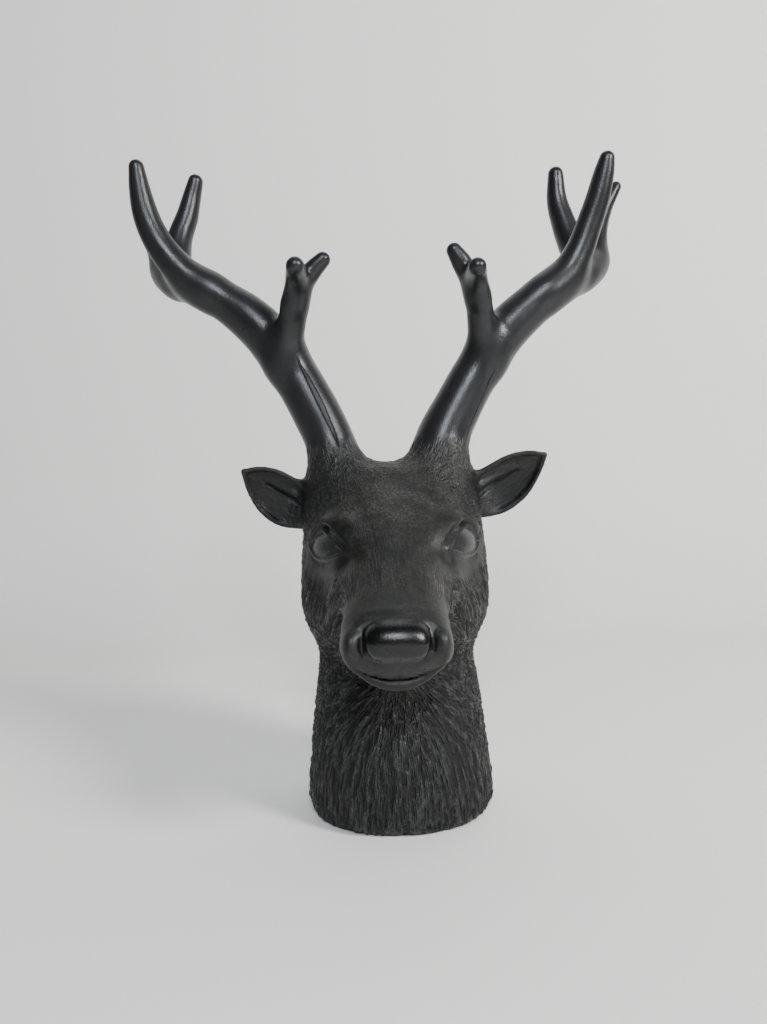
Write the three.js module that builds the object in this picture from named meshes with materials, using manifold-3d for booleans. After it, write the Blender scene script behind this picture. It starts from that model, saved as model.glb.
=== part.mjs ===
// A deer head sculpture: a cast bust with antlers that stands on the flat underside of its neck.
// Millimetres, +Z up, the nose towards -Y, the origin at the centre of the underside.
//
// The neck, skull and muzzle are one skin, pulled over a modelling form: for each ring along the neck,
// the head and the muzzle, rays leave the ring's centre and stop where they meet the form's surface.
// Ears, antlers, eyes and nose are solids of their own shape, joined to the head into one casting.

import * as THREE from "three";
import { mergeVertices } from "three/addons/utils/BufferGeometryUtils.js";
import Module from "manifold-3d";

const wasm = await Module();
wasm.setup();

const { degToRad, lerp, smoothstep } = THREE.MathUtils;

// Driving dimensions

const FACE_SLOPE = degToRad(35); // the line of the face, below the horizontal
const NOSE = { y: -86, z: 90 }; // the front of the muzzle, where its own axis starts
const NOSE_LEAN = 1.8; // how far the muzzle's front leans to -X
const THROAT = { y: -62, z: 46 }; // the rings of the head all turn about this line below the chin
const POLL_HEIGHT = 158.6; // the top of the head between the antlers
const RAY_STEP = 1.5;
const RAY_REACH = 110;

// Outlines of the neck and skull: height, half width, front, back
const BODY_OUTLINE = [
  [0, 38.8, -37.5, 41.5],
  [4, 41.6, -40.5, 44.5],
  [12, 42.0, -41.5, 45.5],
  [28, 40.3, -41.0, 45.5],
  [47, 38.2, -38.0, 45.0],
  [60, 36.6, -33.0, 46.0],
  [70, 35.8, -29.0, 47.5],
  [77, 37.4, -31.0, 49.0],
  [85, 39.8, -36.0, 50.0],
  [96, 41.0, -42.0, 50.5],
  [108, 41.0, -45.0, 50.0],
  [122, 41.0, -42.0, 48.0],
  [136, 40.0, -30.0, 44.0],
  [150, 38.8, -13.0, 37.0],
  [164, 37.6, 2.0, 26.0],
];

// The muzzle along its own axis: distance behind the nose, half width, top, bottom, squareness
const MUZZLE_OUTLINE = [
  [-6, 17.6, 5.4, -14.8, 2.7],
  [4, 19.0, 6.4, -15.4, 2.9],
  [14, 20.2, 6.4, -16.4, 3.0],
  [26, 21.2, 5.4, -18.4, 3.2],
  [40, 21.8, 4.8, -22.0, 3.4],
  [56, 23.4, 5.2, -27.0, 3.2],
  [74, 25.0, 6.2, -32.0, 2.8],
  [96, 28.0, 6.6, -36.0, 2.4],
];

// The nose pad, a barrel across the muzzle: its middle, its radius, its half width high and low
const PAD = { behind: 4.7, above: -0.6, radius: 7.9, top: 13.2, bottom: 8.6 };

// The lower jaw along the same axis
const JAW_OUTLINE = [
  [-6, 11.4, -9.0, -24.6],
  [6, 13.4, -9.0, -28.4],
  [18, 15.6, -10.0, -34.6],
  [34, 19.5, -12.0, -42.5],
  [52, 25.0, -16.0, -49.0],
  [74, 30.0, -20.0, -52.0],
];

// Lumps of clay and thumb hollows, one for each side: place, size, height above (or below) the form
const LUMPS = [
  { name: "brow ridge", at: [32, -29, 133.5], size: [10, 10, 5], height: 2.4 },
  { name: "brow corner", at: [40, -16, 127.5], size: [6, 8, 7], height: 1.0 },
  { name: "eye socket", at: [31, -30, 122.5], size: [9, 9.5, 7.5], height: -3.4 },
  { name: "tear duct", at: [19.5, -43, 117], size: [4, 5.5, 5], height: -1.8 },
  { name: "hollow below the eye", at: [34, -36, 107.5], size: [9, 13, 6], height: -2.6 },
  { name: "cheekbone", at: [40, -24, 110], size: [6, 14, 6], height: 1.2 },
  { name: "cheek", at: [37, -12, 92], size: [12, 20, 12], height: 1.6 },
  { name: "hollow beside the muzzle", at: [25, -52, 90], size: [8, 14, 11], height: -2.6 },
  { name: "upper lip", at: [18, -77, 86], size: [6, 9, 6.5], height: 1.6 },
  { name: "pedicle", at: [25, 9, 155], size: [14, 15, 13], height: 3.6 },
  { name: "temple hollow", at: [38, -4, 141], size: [8, 12, 8], height: -1.0 },
];

// Mesh sizes

const SKIN_COLUMNS = 54;
const NECK_RINGS = 7;
const HEAD_RINGS = 28;
const MUZZLE_RINGS = 8;
const CAST_SURFACE = { color: 0x1b1b1c, roughness: 0.55, metalness: 0.0 };

// Helpers for the modelling form

/** The values at a position along an outline, on a smooth curve through its stations. */
function along(outline, position) {
  const last = outline.length - 1;
  const at = Math.min(Math.max(position, outline[0][0]), outline[last][0]);
  let i = 0;
  while (i < last - 1 && at > outline[i + 1][0]) i++;
  const [before, from, to, after] = [
    outline[Math.max(i - 1, 0)],
    outline[i],
    outline[i + 1],
    outline[Math.min(i + 2, last)],
  ];
  const span = to[0] - from[0];
  const t = (at - from[0]) / span;
  const [t2, t3] = [t * t, t * t * t];
  return from.slice(1).map((_, k) => {
    const c = k + 1;
    const leave = ((to[c] - before[c]) / (to[0] - before[0])) * span;
    const arrive = ((after[c] - from[c]) / (after[0] - from[0])) * span;
    return (
      from[c] * (2 * t3 - 3 * t2 + 1) +
      leave * (t3 - 2 * t2 + t) +
      to[c] * (3 * t2 - 2 * t3) +
      arrive * (t3 - t2)
    );
  });
}

/** The lesser of two distances, with a fillet where they are within a blend of each other. */
function blendUnion(a, b, blend) {
  const h = Math.max(blend - Math.abs(a - b), 0) / blend;
  return Math.min(a, b) - (h * h * blend) / 4;
}

/** The greater of two distances, with a rounded edge. */
function blendCut(a, b, blend) {
  return -blendUnion(-a, -b, blend);
}

/** A distance to an oval section: its half sizes may differ front and back, or top and bottom. */
function oval(across, acrossHalf, other, low, high, power) {
  const middle = (low + high) / 2;
  const half = (high - low) / 2;
  const reach =
    (Math.abs(across / acrossHalf) ** power + Math.abs((other - middle) / half) ** power) **
    (1 / power);
  return (reach - 1) * Math.min(acrossHalf, half);
}

/** The place on the muzzle's own axis: distance behind the nose, and height above its line. */
function onMuzzle(y, z) {
  const [dy, dz] = [y - NOSE.y, z - NOSE.z];
  return {
    behind: dy * Math.cos(FACE_SLOPE) + dz * Math.sin(FACE_SLOPE),
    above: -dy * Math.sin(FACE_SLOPE) + dz * Math.cos(FACE_SLOPE),
  };
}

/** How far outside the form of the neck, skull and muzzle a point is, in about millimetres. */
function form(x, y, z) {
  const [bodyHalf, bodyFront, bodyBack] = along(BODY_OUTLINE, z);
  const body = oval(x, bodyHalf, y, bodyFront, bodyBack, 2.25);
  const dome = Math.max(z - (POLL_HEIGHT - 50), 0) / 50;
  const crown = Math.hypot(x / 62, (y - 12) / 66, dome) - 1;
  let distance = blendCut(body, crown * 50, 9);

  const across = x + NOSE_LEAN * smoothstep(-28 - y, 0, 48);
  const { behind, above } = onMuzzle(y, z);
  const [muzzleHalf, muzzleTop, muzzleBottom, squareness] = along(MUZZLE_OUTLINE, behind);
  const muzzleSide = oval(across, muzzleHalf, above, muzzleBottom, muzzleTop, squareness);
  const muzzleFront = -2.4 - behind + across ** 2 / 90 + 0.16 * Math.max(-above - 3, 0);
  const muzzle = blendCut(muzzleSide, Math.max(muzzleFront, behind - 100), 7);
  const [jawHalf, jawTop, jawBottom] = along(JAW_OUTLINE, behind);
  const jawSide = oval(across, jawHalf, above, jawBottom, jawTop, 2.3);
  const jawFront = 0.6 - behind + across ** 2 / 60 + 0.35 * Math.max(-above - 17, 0);
  const jaw = blendCut(jawSide, Math.max(jawFront, behind - 84), 6);
  distance = blendUnion(distance, blendUnion(muzzle, jaw, 2), 12);

  // The nose pad stands in a shallow moat, a little proud of the muzzle's front
  const padHalf = lerp(PAD.bottom, PAD.top, smoothstep(above, -8, 4));
  const barrel = Math.hypot(behind - PAD.behind, above - PAD.above + 0.012 * across ** 2);
  const padReach =
    (Math.abs(across / padHalf) ** 4.2 + (barrel / PAD.radius) ** 4.2) ** (1 / 4.2) - 1;
  const pad = padReach * PAD.radius;
  if (behind < 10) distance += 0.8 * Math.exp(-((Math.max(pad, 0) / 1.6) ** 2));
  distance = blendUnion(distance, pad, 0.8);

  // The line of the mouth runs round the muzzle between the lips
  const mouth = above + 15.9 - 6.6 * (Math.abs(across) / 18.6) ** 3;
  const mouthEnds = Math.exp(-((Math.max(behind - 10, 0) / 13) ** 2));
  distance += 1.7 * Math.exp(-((mouth / 1.8) ** 2)) * mouthEnds;

  for (const { at, size, height } of LUMPS) {
    const reach =
      ((Math.abs(across) - at[0]) / size[0]) ** 2 +
      ((y - at[1]) / size[1]) ** 2 +
      ((z - at[2]) / size[2]) ** 2;
    distance -= height * Math.exp(-reach);
  }
  return distance;
}

/** Where a ray from inside the form comes out of it. */
function surfaceAlong(origin, direction) {
  const outside = (reach) =>
    form(
      origin.x + direction.x * reach,
      origin.y + direction.y * reach,
      origin.z + direction.z * reach,
    ) > 0;
  let far = RAY_STEP;
  while (far < RAY_REACH && !outside(far)) far += RAY_STEP;
  let near = far - RAY_STEP;
  for (let i = 0; i < 12; i++) {
    const middle = (near + far) / 2;
    if (outside(middle)) far = middle;
    else near = middle;
  }
  return origin.clone().addScaledVector(direction, near);
}

// The skin over the form

/** The rings of the skin, from the underside to the nose: centre, outward direction, lean of the rays. */
function skinRings() {
  const rings = [];
  const neckCentre = 2;
  for (let i = 0; i < NECK_RINGS; i++) {
    const height = THROAT.z * (i / NECK_RINGS) ** 1.15;
    rings.push({ centre: [neckCentre, height], turn: 0, lean: 0 });
  }
  // turn of the ring about the throat line in degrees, and its centre's distance from that line
  const centres = [
    [0, 64],
    [20, 72],
    [40, 86],
    [55, 78],
    [70, 61],
    [85, 46],
    [100, 42],
  ];
  // share of the head rings, and the turn they have reached: closest together round the eyes
  const turns = [
    [0, 0],
    [0.2, 24],
    [0.36, 47],
    [0.7, 73],
    [0.85, 88],
    [1, 100],
  ];
  for (let i = 0; i <= HEAD_RINGS; i++) {
    const [turn] = along(turns, i / HEAD_RINGS);
    const [distance] = along(centres, turn);
    const angle = degToRad(turn);
    rings.push({
      centre: [THROAT.y + distance * Math.cos(angle), THROAT.z + distance * Math.sin(angle)],
      turn: angle,
      lean: 0,
    });
  }
  const front = rings[rings.length - 1];
  for (let i = 1; i < MUZZLE_RINGS; i++) {
    rings.push({ ...front, lean: (Math.PI / 2) * (i / MUZZLE_RINGS) });
  }
  return rings;
}

/** The closed skin of neck, head and muzzle. */
function skin() {
  const rings = skinRings();
  const positions = [];
  const faces = [];
  const ray = (ring, column) => {
    const around = (2 * Math.PI * column) / SKIN_COLUMNS;
    const outward = Math.cos(around) * Math.cos(ring.lean);
    const forward = Math.sin(ring.lean);
    return new THREE.Vector3(
      Math.sin(around) * Math.cos(ring.lean),
      outward * Math.cos(ring.turn) - forward * Math.sin(ring.turn),
      outward * Math.sin(ring.turn) + forward * Math.cos(ring.turn),
    );
  };
  for (const ring of rings) {
    const centre = new THREE.Vector3(0, ...ring.centre);
    for (let column = 0; column < SKIN_COLUMNS; column++) {
      positions.push(...surfaceAlong(centre, ray(ring, column)));
    }
  }
  const front = rings[rings.length - 1];
  const nosePole = surfaceAlong(
    new THREE.Vector3(0, ...front.centre),
    ray({ ...front, lean: Math.PI / 2 }, 0),
  );
  const underside = positions.length / 3;
  positions.push(0, rings[0].centre[0], 0, ...nosePole);
  for (let ring = 0; ring < rings.length; ring++) {
    for (let column = 0; column < SKIN_COLUMNS; column++) {
      const next = (column + 1) % SKIN_COLUMNS;
      const a = ring * SKIN_COLUMNS + column;
      const b = ring * SKIN_COLUMNS + next;
      if (ring === 0) faces.push(underside, a, b);
      if (ring === rings.length - 1) faces.push(a, underside + 1, b);
      else faces.push(a, a + SKIN_COLUMNS, b, b, a + SKIN_COLUMNS, b + SKIN_COLUMNS);
    }
  }
  return surface(positions, faces);
}

/** A geometry from plain lists of coordinates and corners. */
function surface(positions, faces) {
  const geometry = new THREE.BufferGeometry();
  geometry.setAttribute("position", new THREE.Float32BufferAttribute(positions, 3));
  geometry.setIndex(faces);
  return geometry;
}

// Tapering branches

/** A closed round bar through stations of [x, y, z, radius], with a rounded end. */
function branch(stations, sides, steps) {
  const curve = new THREE.CatmullRomCurve3(stations.map(([x, y, z]) => new THREE.Vector3(x, y, z)));
  const radii = stations.map((station, i) => [i / (stations.length - 1), station[3]]);
  const positions = [];
  const faces = [];
  let normal = new THREE.Vector3(0, -1, 0);
  const addRing = (centre, tangent, radius) => {
    normal = normal.addScaledVector(tangent, -normal.dot(tangent)).normalize();
    const binormal = tangent.clone().cross(normal);
    for (let i = 0; i < sides; i++) {
      const around = (2 * Math.PI * i) / sides;
      const point = centre
        .clone()
        .addScaledVector(normal, radius * Math.cos(around))
        .addScaledVector(binormal, radius * Math.sin(around));
      positions.push(...point);
    }
  };
  for (let step = 0; step <= steps; step++) {
    const share = step / steps;
    const [radius] = along(radii, share);
    addRing(curve.getPoint(share), curve.getTangent(share), radius);
  }
  const end = curve.getPoint(1);
  const tangent = curve.getTangent(1);
  const [tipRadius] = along(radii, 1);
  const shoulder = end.clone().addScaledVector(tangent, tipRadius * 0.7);
  addRing(shoulder, tangent, tipRadius * 0.7);
  const rings = positions.length / 3 / sides;
  const root = positions.length / 3;
  positions.push(...curve.getPoint(0), ...end.clone().addScaledVector(tangent, tipRadius));
  for (let ring = 0; ring < rings; ring++) {
    for (let i = 0; i < sides; i++) {
      const next = (i + 1) % sides;
      const a = ring * sides + i;
      const b = ring * sides + next;
      if (ring === 0) faces.push(root, b, a);
      if (ring === rings - 1) faces.push(a, b, root + 1);
      else faces.push(a, b, a + sides, b, b + sides, a + sides);
    }
  }
  return surface(positions, faces);
}

// Each antler: a beam that sweeps up and out into a long front tine, a rear beam that splits in
// two, and low on the beam a short brow tine with two stubby prongs. Both are given as on the +X
// side, as stations of [x, y, z, radius]; the antler of the -X side spreads a little wider

const ANTLER = {
  beam: [
    [20.5, 7, 134, 17.0],
    [22.0, 9.5, 151, 15.6],
    [25.0, 12, 168, 12.8],
    [33.0, 14, 183.8, 11.5],
    [42.3, 16, 199.4, 11.2],
    [55.5, 18, 217.5, 11.0],
    [70.1, 19.5, 231.1, 10.2],
    [80.0, 20, 238.8, 9.3],
    [88.0, 20, 246.0, 8.3],
    [94.1, 19.5, 256.6, 7.0],
    [98.8, 18.5, 268.9, 6.2],
    [103.0, 17, 281.1, 5.7],
    [105.5, 15.5, 291.7, 4.9],
    [106.6, 14, 297.8, 3.7],
  ],
  rearOuter: [
    [78.0, 20, 237.0, 8.0],
    [90.0, 26, 244.0, 8.8],
    [100.0, 34, 250.0, 9.2],
    [107.0, 41, 256.5, 8.4],
    [109.6, 46, 266.0, 6.6],
    [112.0, 49, 276.0, 5.2],
    [116.4, 52, 287.0, 4.3],
    [123.4, 54, 298.8, 3.0],
  ],
  rearInner: [
    [98.0, 32, 249.5, 6.4],
    [97.6, 38, 259.0, 6.9],
    [95.6, 43, 269.5, 6.6],
    [93.0, 46, 280.6, 6.0],
    [90.8, 47.5, 291.0, 5.1],
    [90.3, 47, 303.5, 3.9],
  ],
  browFront: [
    [47.5, 16, 205.0, 8.6],
    [45.5, 10, 217.0, 7.0],
    [43.3, 4, 228.5, 6.1],
    [41.2, -3, 236.5, 5.5],
    [40.0, -12, 240.5, 4.8],
    [39.4, -20, 240.6, 4.0],
  ],
  browInner: [
    [41.8, 0.5, 232.5, 5.4],
    [38.0, -2.5, 241.0, 5.0],
    [34.5, -4, 247.0, 4.6],
    [31.2, -5, 252.0, 3.5],
  ],
};

const WIDE_ANTLER = {
  beam: [
    [20.5, 7, 134, 17.0],
    [24.5, 9.5, 151, 14.6],
    [28.0, 12, 167.7, 11.8],
    [34.5, 14, 183.1, 11.6],
    [42.8, 16, 199.1, 11.3],
    [54.0, 18, 217.0, 11.4],
    [62.9, 19, 227.3, 11.0],
    [75.4, 20, 237.2, 9.6],
    [85.5, 20.5, 243.6, 9.0],
    [95.0, 20, 250.9, 8.2],
    [103.4, 19.5, 260.7, 7.2],
    [109.0, 18.5, 270.6, 6.6],
    [112.2, 17.5, 280.5, 6.0],
    [113.8, 16, 291.2, 4.9],
    [114.4, 14.5, 299.8, 3.7],
  ],
  rearOuter: [
    [84.0, 21, 243.0, 8.0],
    [94.0, 27, 247.6, 8.6],
    [103.0, 35, 252.0, 8.8],
    [109.5, 42, 258.0, 8.0],
    [113.5, 47, 268.0, 6.2],
    [118.0, 50, 279.0, 5.2],
    [122.0, 52, 290.0, 4.2],
    [124.5, 53, 299.0, 3.1],
  ],
  rearInner: [
    [101.0, 33, 250.5, 6.4],
    [103.0, 38.5, 259.5, 7.0],
    [103.4, 42.5, 268.5, 6.7],
    [102.4, 45, 277.0, 6.2],
    [99.0, 47, 287.1, 5.6],
    [96.6, 47.5, 296.0, 4.8],
    [94.0, 47, 304.5, 3.9],
  ],
  browFront: [
    [48.0, 16, 206.0, 8.8],
    [46.0, 10, 217.0, 7.3],
    [42.6, 4, 228.0, 6.4],
    [40.2, -3, 237.0, 5.6],
    [39.2, -12, 242.2, 4.8],
    [39.0, -20, 243.2, 4.0],
  ],
  browInner: [
    [41.5, 1, 231.5, 5.6],
    [37.5, -2, 239.5, 4.9],
    [32.6, -4, 245.3, 4.4],
    [27.8, -5, 249.6, 3.5],
  ],
};

// Sides and steps of each bar
const BAR_FINENESS = {
  beam: [12, 26],
  rearOuter: [10, 13],
  rearInner: [9, 9],
  browFront: [9, 9],
  browInner: [8, 5],
};

/** The bars of one antler. */
function antler(bars) {
  return Object.entries(bars).map(([name, stations]) => branch(stations, ...BAR_FINENESS[name]));
}

// The ear on the +X side: a leaf with a hollow front, along a line from root to tip.
// Share of length, reach above the line, reach below it, bulge of the back, depth of the hollow

const EAR = { root: [31.3, 15.5, 134.8], tip: [73.1, 8, 159.4] };
const LOW_EAR = { root: [33.0, 15.7, 131.7], tip: [69.3, 8, 156.1] }; // the one on the -X side
const EAR_FACES = new THREE.Vector3(0.3, -1, -0.12); // the way the hollow looks
const EAR_OUTLINE = [
  [0, 6.0, 6.0, 6.0, -5.0],
  [0.16, 8.6, 9.6, 6.8, -3.0],
  [0.29, 9.4, 12.8, 7.2, 0.8],
  [0.4, 9.8, 14.0, 7.2, 3.4],
  [0.52, 9.8, 13.9, 6.8, 3.8],
  [0.63, 9.6, 12.8, 6.0, 3.4],
  [0.73, 8.8, 10.8, 5.2, 2.8],
  [0.84, 6.8, 7.4, 4.0, 1.8],
  [0.92, 4.4, 4.6, 2.8, 0.8],
  [1, 0.9, 0.9, 1.2, -0.6],
];

/** The ear's closed surface: each ring is an arc over the back and an arc along the hollow. */
function ear({ root, tip }) {
  const steps = 10;
  const arc = 6;
  const start = new THREE.Vector3(...root);
  const line = new THREE.Vector3(...tip).sub(start);
  const lengthwise = line.clone().normalize();
  const facing = EAR_FACES.clone().addScaledVector(lengthwise, -EAR_FACES.dot(lengthwise));
  facing.normalize();
  const down = lengthwise.clone().cross(facing);
  const positions = [];
  const faces = [];
  for (let step = 0; step <= steps; step++) {
    const share = step / steps;
    const [above, below, bulge, hollow] = along(EAR_OUTLINE, share);
    const centre = start.clone().addScaledVector(line, share);
    const add = (side, depth) => {
      const reach = side > 0 ? side * below : side * above;
      const point = centre.clone().addScaledVector(down, reach);
      positions.push(...point.addScaledVector(facing, -depth));
    };
    for (let i = 0; i < arc; i++) {
      const angle = (Math.PI * i) / arc;
      add(Math.cos(angle), bulge * Math.sin(angle));
    }
    for (let i = 0; i < arc; i++) {
      const angle = (Math.PI * i) / arc;
      add(-Math.cos(angle), hollow * Math.sin(angle));
    }
  }
  const ring = 2 * arc;
  const ends = positions.length / 3;
  positions.push(...root, ...tip);
  for (let step = 0; step <= steps; step++) {
    for (let i = 0; i < ring; i++) {
      const a = step * ring + i;
      const b = step * ring + ((i + 1) % ring);
      if (step === 0) faces.push(ends, b, a);
      if (step === steps) faces.push(a, b, ends + 1);
      else faces.push(a, b, a + ring, b, b + ring, a + ring);
    }
  }
  return surface(positions, faces);
}

// The eye on the +X side, between its two corners

const EYE = {
  inner: [22.3, -37.6, 122.2],
  outer: [36.6, -19.2, 123.2],
  looks: [0.78, -0.61, 0.12],
  bulge: [12.3, 8.6, 5.8], // half its length, height and depth
  depth: 3.1, // how far its middle lies behind the corners
  peak: 0.48, // where the upper lid is highest, from -1 at the inner corner to 1
};

/** How high the upper lid's edge is: a straight rise to a peak near the outer corner. */
function upperLid(share) {
  const climb = (1 + share) / (1 + EYE.peak);
  const fall = (1 - share) / (1 - EYE.peak);
  return 6.9 * blendUnion(climb, fall, 0.45);
}

/** How high the lower lid's edge is: a shallow bag. */
function lowerLid(share) {
  return -4.9 * (1 - Math.abs(share) ** 2.4) * (1 + 0.4 * share);
}

/** The almond-shaped eyeball with a lid bar along each edge of its opening. */
function eye() {
  const [inner, outer] = [EYE.inner, EYE.outer].map((p) => new THREE.Vector3(...p));
  const middle = inner.clone().lerp(outer, 0.5);
  const lengthwise = outer.clone().sub(inner).normalize();
  const upward = new THREE.Vector3(...EYE.looks).normalize().cross(lengthwise).normalize();
  const outward = lengthwise.clone().cross(upward);
  const place = new THREE.Matrix4().makeBasis(lengthwise, upward, outward);
  const halfLength = inner.distanceTo(outer) / 2;
  const [long, tall, deep] = EYE.bulge;
  const ball = new THREE.SphereGeometry(1, 16, 10);
  ball.scale(long, tall, deep);
  ball.translate(0, 0, -EYE.depth);
  ball.applyMatrix4(place.setPosition(middle));
  const lid = (edge, radius) => {
    const points = [];
    for (let i = 0; i <= 8; i++) {
      const share = i / 4 - 1;
      const [across, up] = [share * halfLength, edge(share)];
      const dome = Math.sqrt(Math.max(1 - (across / long) ** 2 - (up / (tall + 3)) ** 2, 0));
      const point = new THREE.Vector3(across, up, deep * dome - EYE.depth + 0.3);
      points.push([...point.applyMatrix4(place), radius * (1 - 0.4 * share ** 4)]);
    }
    return branch(points, 5, 9);
  };
  return [ball, lid(upperLid, 1.6), lid(lowerLid, 1.2)];
}

// The nostril on the +X side: across, behind the nose, above its line, radius

const NOSTRIL = [
  [9.8, 12.0, 5.4, 0.8],
  [12.0, 9.6, 4.4, 1.5],
  [12.9, 6.6, 2.6, 1.6],
  [12.4, 3.6, 0.4, 1.1],
  [11.2, 1.6, -2.2, 0.7],
];

/** A nostril's cutter, on the given side of the leaning muzzle. */
function nostril(side) {
  const [cos, sin] = [Math.cos(FACE_SLOPE), Math.sin(FACE_SLOPE)];
  const stations = NOSTRIL.map(([across, behind, above, radius]) => [
    side * across - NOSE_LEAN,
    NOSE.y + behind * cos - above * sin,
    NOSE.z + behind * sin + above * cos,
    radius,
  ]);
  return solid(branch(stations, 6, 7));
}

// Joining

/** A closed geometry as a solid that can be joined and cut. */
function solid(geometry) {
  const bare = geometry.clone();
  bare.deleteAttribute("normal");
  bare.deleteAttribute("uv");
  const merged = mergeVertices(bare, 1e-3);
  return new wasm.Manifold(
    new wasm.Mesh({
      numProp: 3,
      vertProperties: new Float32Array(merged.attributes.position.array),
      triVerts: new Uint32Array(merged.index.array),
    }),
  );
}

/** The solid's mirror image on the -X side. */
function mirrored(geometry) {
  const copy = geometry.clone();
  copy.scale(-1, 1, 1);
  const corners = copy.index.array;
  for (let i = 0; i < corners.length; i += 3) {
    [corners[i + 1], corners[i + 2]] = [corners[i + 2], corners[i + 1]];
  }
  return copy;
}

/** Both sides' copies of a geometry made for the +X side. */
function pair(geometry) {
  return [solid(geometry), solid(mirrored(geometry))];
}

function deerHead() {
  let casting = solid(skin());
  const added = [
    solid(ear(EAR)),
    solid(mirrored(ear(LOW_EAR))),
    ...eye().flatMap(pair),
    ...antler(ANTLER).map(solid),
    ...antler(WIDE_ANTLER).map((bar) => solid(mirrored(bar))),
  ];
  for (const piece of added) casting = casting.add(piece);
  for (const side of [1, -1]) casting = casting.subtract(nostril(side));
  const mesh = casting.getMesh();
  const geometry = surface(Array.from(mesh.vertProperties), Array.from(mesh.triVerts));
  geometry.computeVertexNormals();
  const made = new THREE.Mesh(geometry, new THREE.MeshStandardMaterial(CAST_SURFACE));
  made.name = "deer_head";
  return made;
}

const sculpture = new THREE.Group();
sculpture.add(deerHead());

export default sculpture;
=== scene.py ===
"""A deer head sculpture: a black cast bust with antlers, on the flat underside of its neck.

The casting is one piece. Its form is a field of distances, modelled as the frame's solid is and
carved finer: eyelids, nose pad, lips, forks and ear hollows. The field is wrapped in a mesh, its
coat is carved with strokes along the lay of the hair, and the result stands in for the node.
Lengths in the tables are millimetres, +Z up, the nose towards -Y.
"""

import logging
import math
from dataclasses import dataclass, field
from enum import Enum
from typing import Iterator, Sequence

import bpy
import numpy as np
from mathutils import Matrix, Vector


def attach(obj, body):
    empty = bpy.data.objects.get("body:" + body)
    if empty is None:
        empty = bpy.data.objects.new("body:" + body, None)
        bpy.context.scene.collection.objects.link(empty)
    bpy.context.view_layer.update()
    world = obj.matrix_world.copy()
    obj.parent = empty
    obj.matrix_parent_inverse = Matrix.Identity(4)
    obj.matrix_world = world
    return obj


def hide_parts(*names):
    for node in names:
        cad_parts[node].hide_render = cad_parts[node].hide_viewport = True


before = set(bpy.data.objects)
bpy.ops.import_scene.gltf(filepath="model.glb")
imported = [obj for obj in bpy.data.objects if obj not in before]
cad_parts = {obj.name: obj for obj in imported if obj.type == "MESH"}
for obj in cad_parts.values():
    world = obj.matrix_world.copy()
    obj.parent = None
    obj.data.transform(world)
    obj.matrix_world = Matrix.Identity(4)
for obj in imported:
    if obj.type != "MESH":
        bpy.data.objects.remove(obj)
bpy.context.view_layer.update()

logging.basicConfig(level=logging.INFO, format="%(name)s: %(message)s")
log = logging.getLogger("deer")

Array = np.ndarray
Rows = Sequence[Sequence[float]]
Point = tuple[float, float, float]
MM = 0.001
FAR = 60.0


class Side(Enum):
    """The two sides of the animal, seen with its nose towards -Y."""

    PLUS_X = 1
    MINUS_X = -1


class Lay(Enum):
    """How the coat is carved, by the width and length of its strokes in millimetres."""

    LOCKS = (2.0, 10.0)
    STROKES = (1.0, 7.0)


# Form of the neck, skull and muzzle

FACE_SLOPE = math.radians(35)
NOSE_Y, NOSE_Z = -86.0, 90.0

# Height, half width, front, back
BODY_OUTLINE = (
    (0, 38.8, -37.5, 41.5),
    (4, 41.6, -40.5, 44.5),
    (12, 42.0, -41.5, 45.5),
    (28, 40.3, -41.0, 45.5),
    (47, 38.2, -38.0, 45.0),
    (60, 36.6, -33.0, 46.0),
    (70, 35.8, -29.0, 47.5),
    (77, 37.4, -31.0, 49.0),
    (85, 39.8, -36.0, 50.0),
    (96, 41.0, -42.0, 50.5),
    (108, 41.0, -45.0, 50.0),
    (122, 41.0, -42.0, 48.0),
    (136, 40.0, -30.0, 44.0),
    (150, 38.8, -13.0, 37.0),
    (164, 37.6, 2.0, 26.0),
)

# Distance behind the nose, half width, top, bottom, squareness
MUZZLE_OUTLINE = (
    (-6, 17.6, 5.4, -14.8, 2.6),
    (4, 19.2, 6.4, -15.4, 2.7),
    (14, 20.4, 6.5, -16.4, 2.6),
    (26, 21.2, 5.8, -18.4, 2.35),
    (40, 22.2, 5.5, -22.0, 2.25),
    (56, 23.8, 5.7, -27.0, 2.25),
    (74, 25.6, 6.4, -32.0, 2.3),
    (96, 28.4, 6.6, -36.0, 2.2),
)

# Distance behind the nose, half width, top, bottom
JAW_OUTLINE = (
    (-6, 11.4, -9.0, -24.6),
    (6, 13.4, -9.0, -28.4),
    (18, 15.6, -10.0, -34.6),
    (34, 19.5, -12.0, -42.5),
    (52, 25.0, -16.0, -49.0),
    (74, 30.0, -20.0, -52.0),
)


@dataclass(frozen=True)
class Lump:
    """A lump of clay or a thumb hollow, one for each side.

    Args:
        name: What it models.
        at: Its place on the +X side.
        size: Its reach along each axis.
        height: How far it stands above the form, or below it.
    """

    name: str
    at: Point
    size: Point
    height: float


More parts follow.
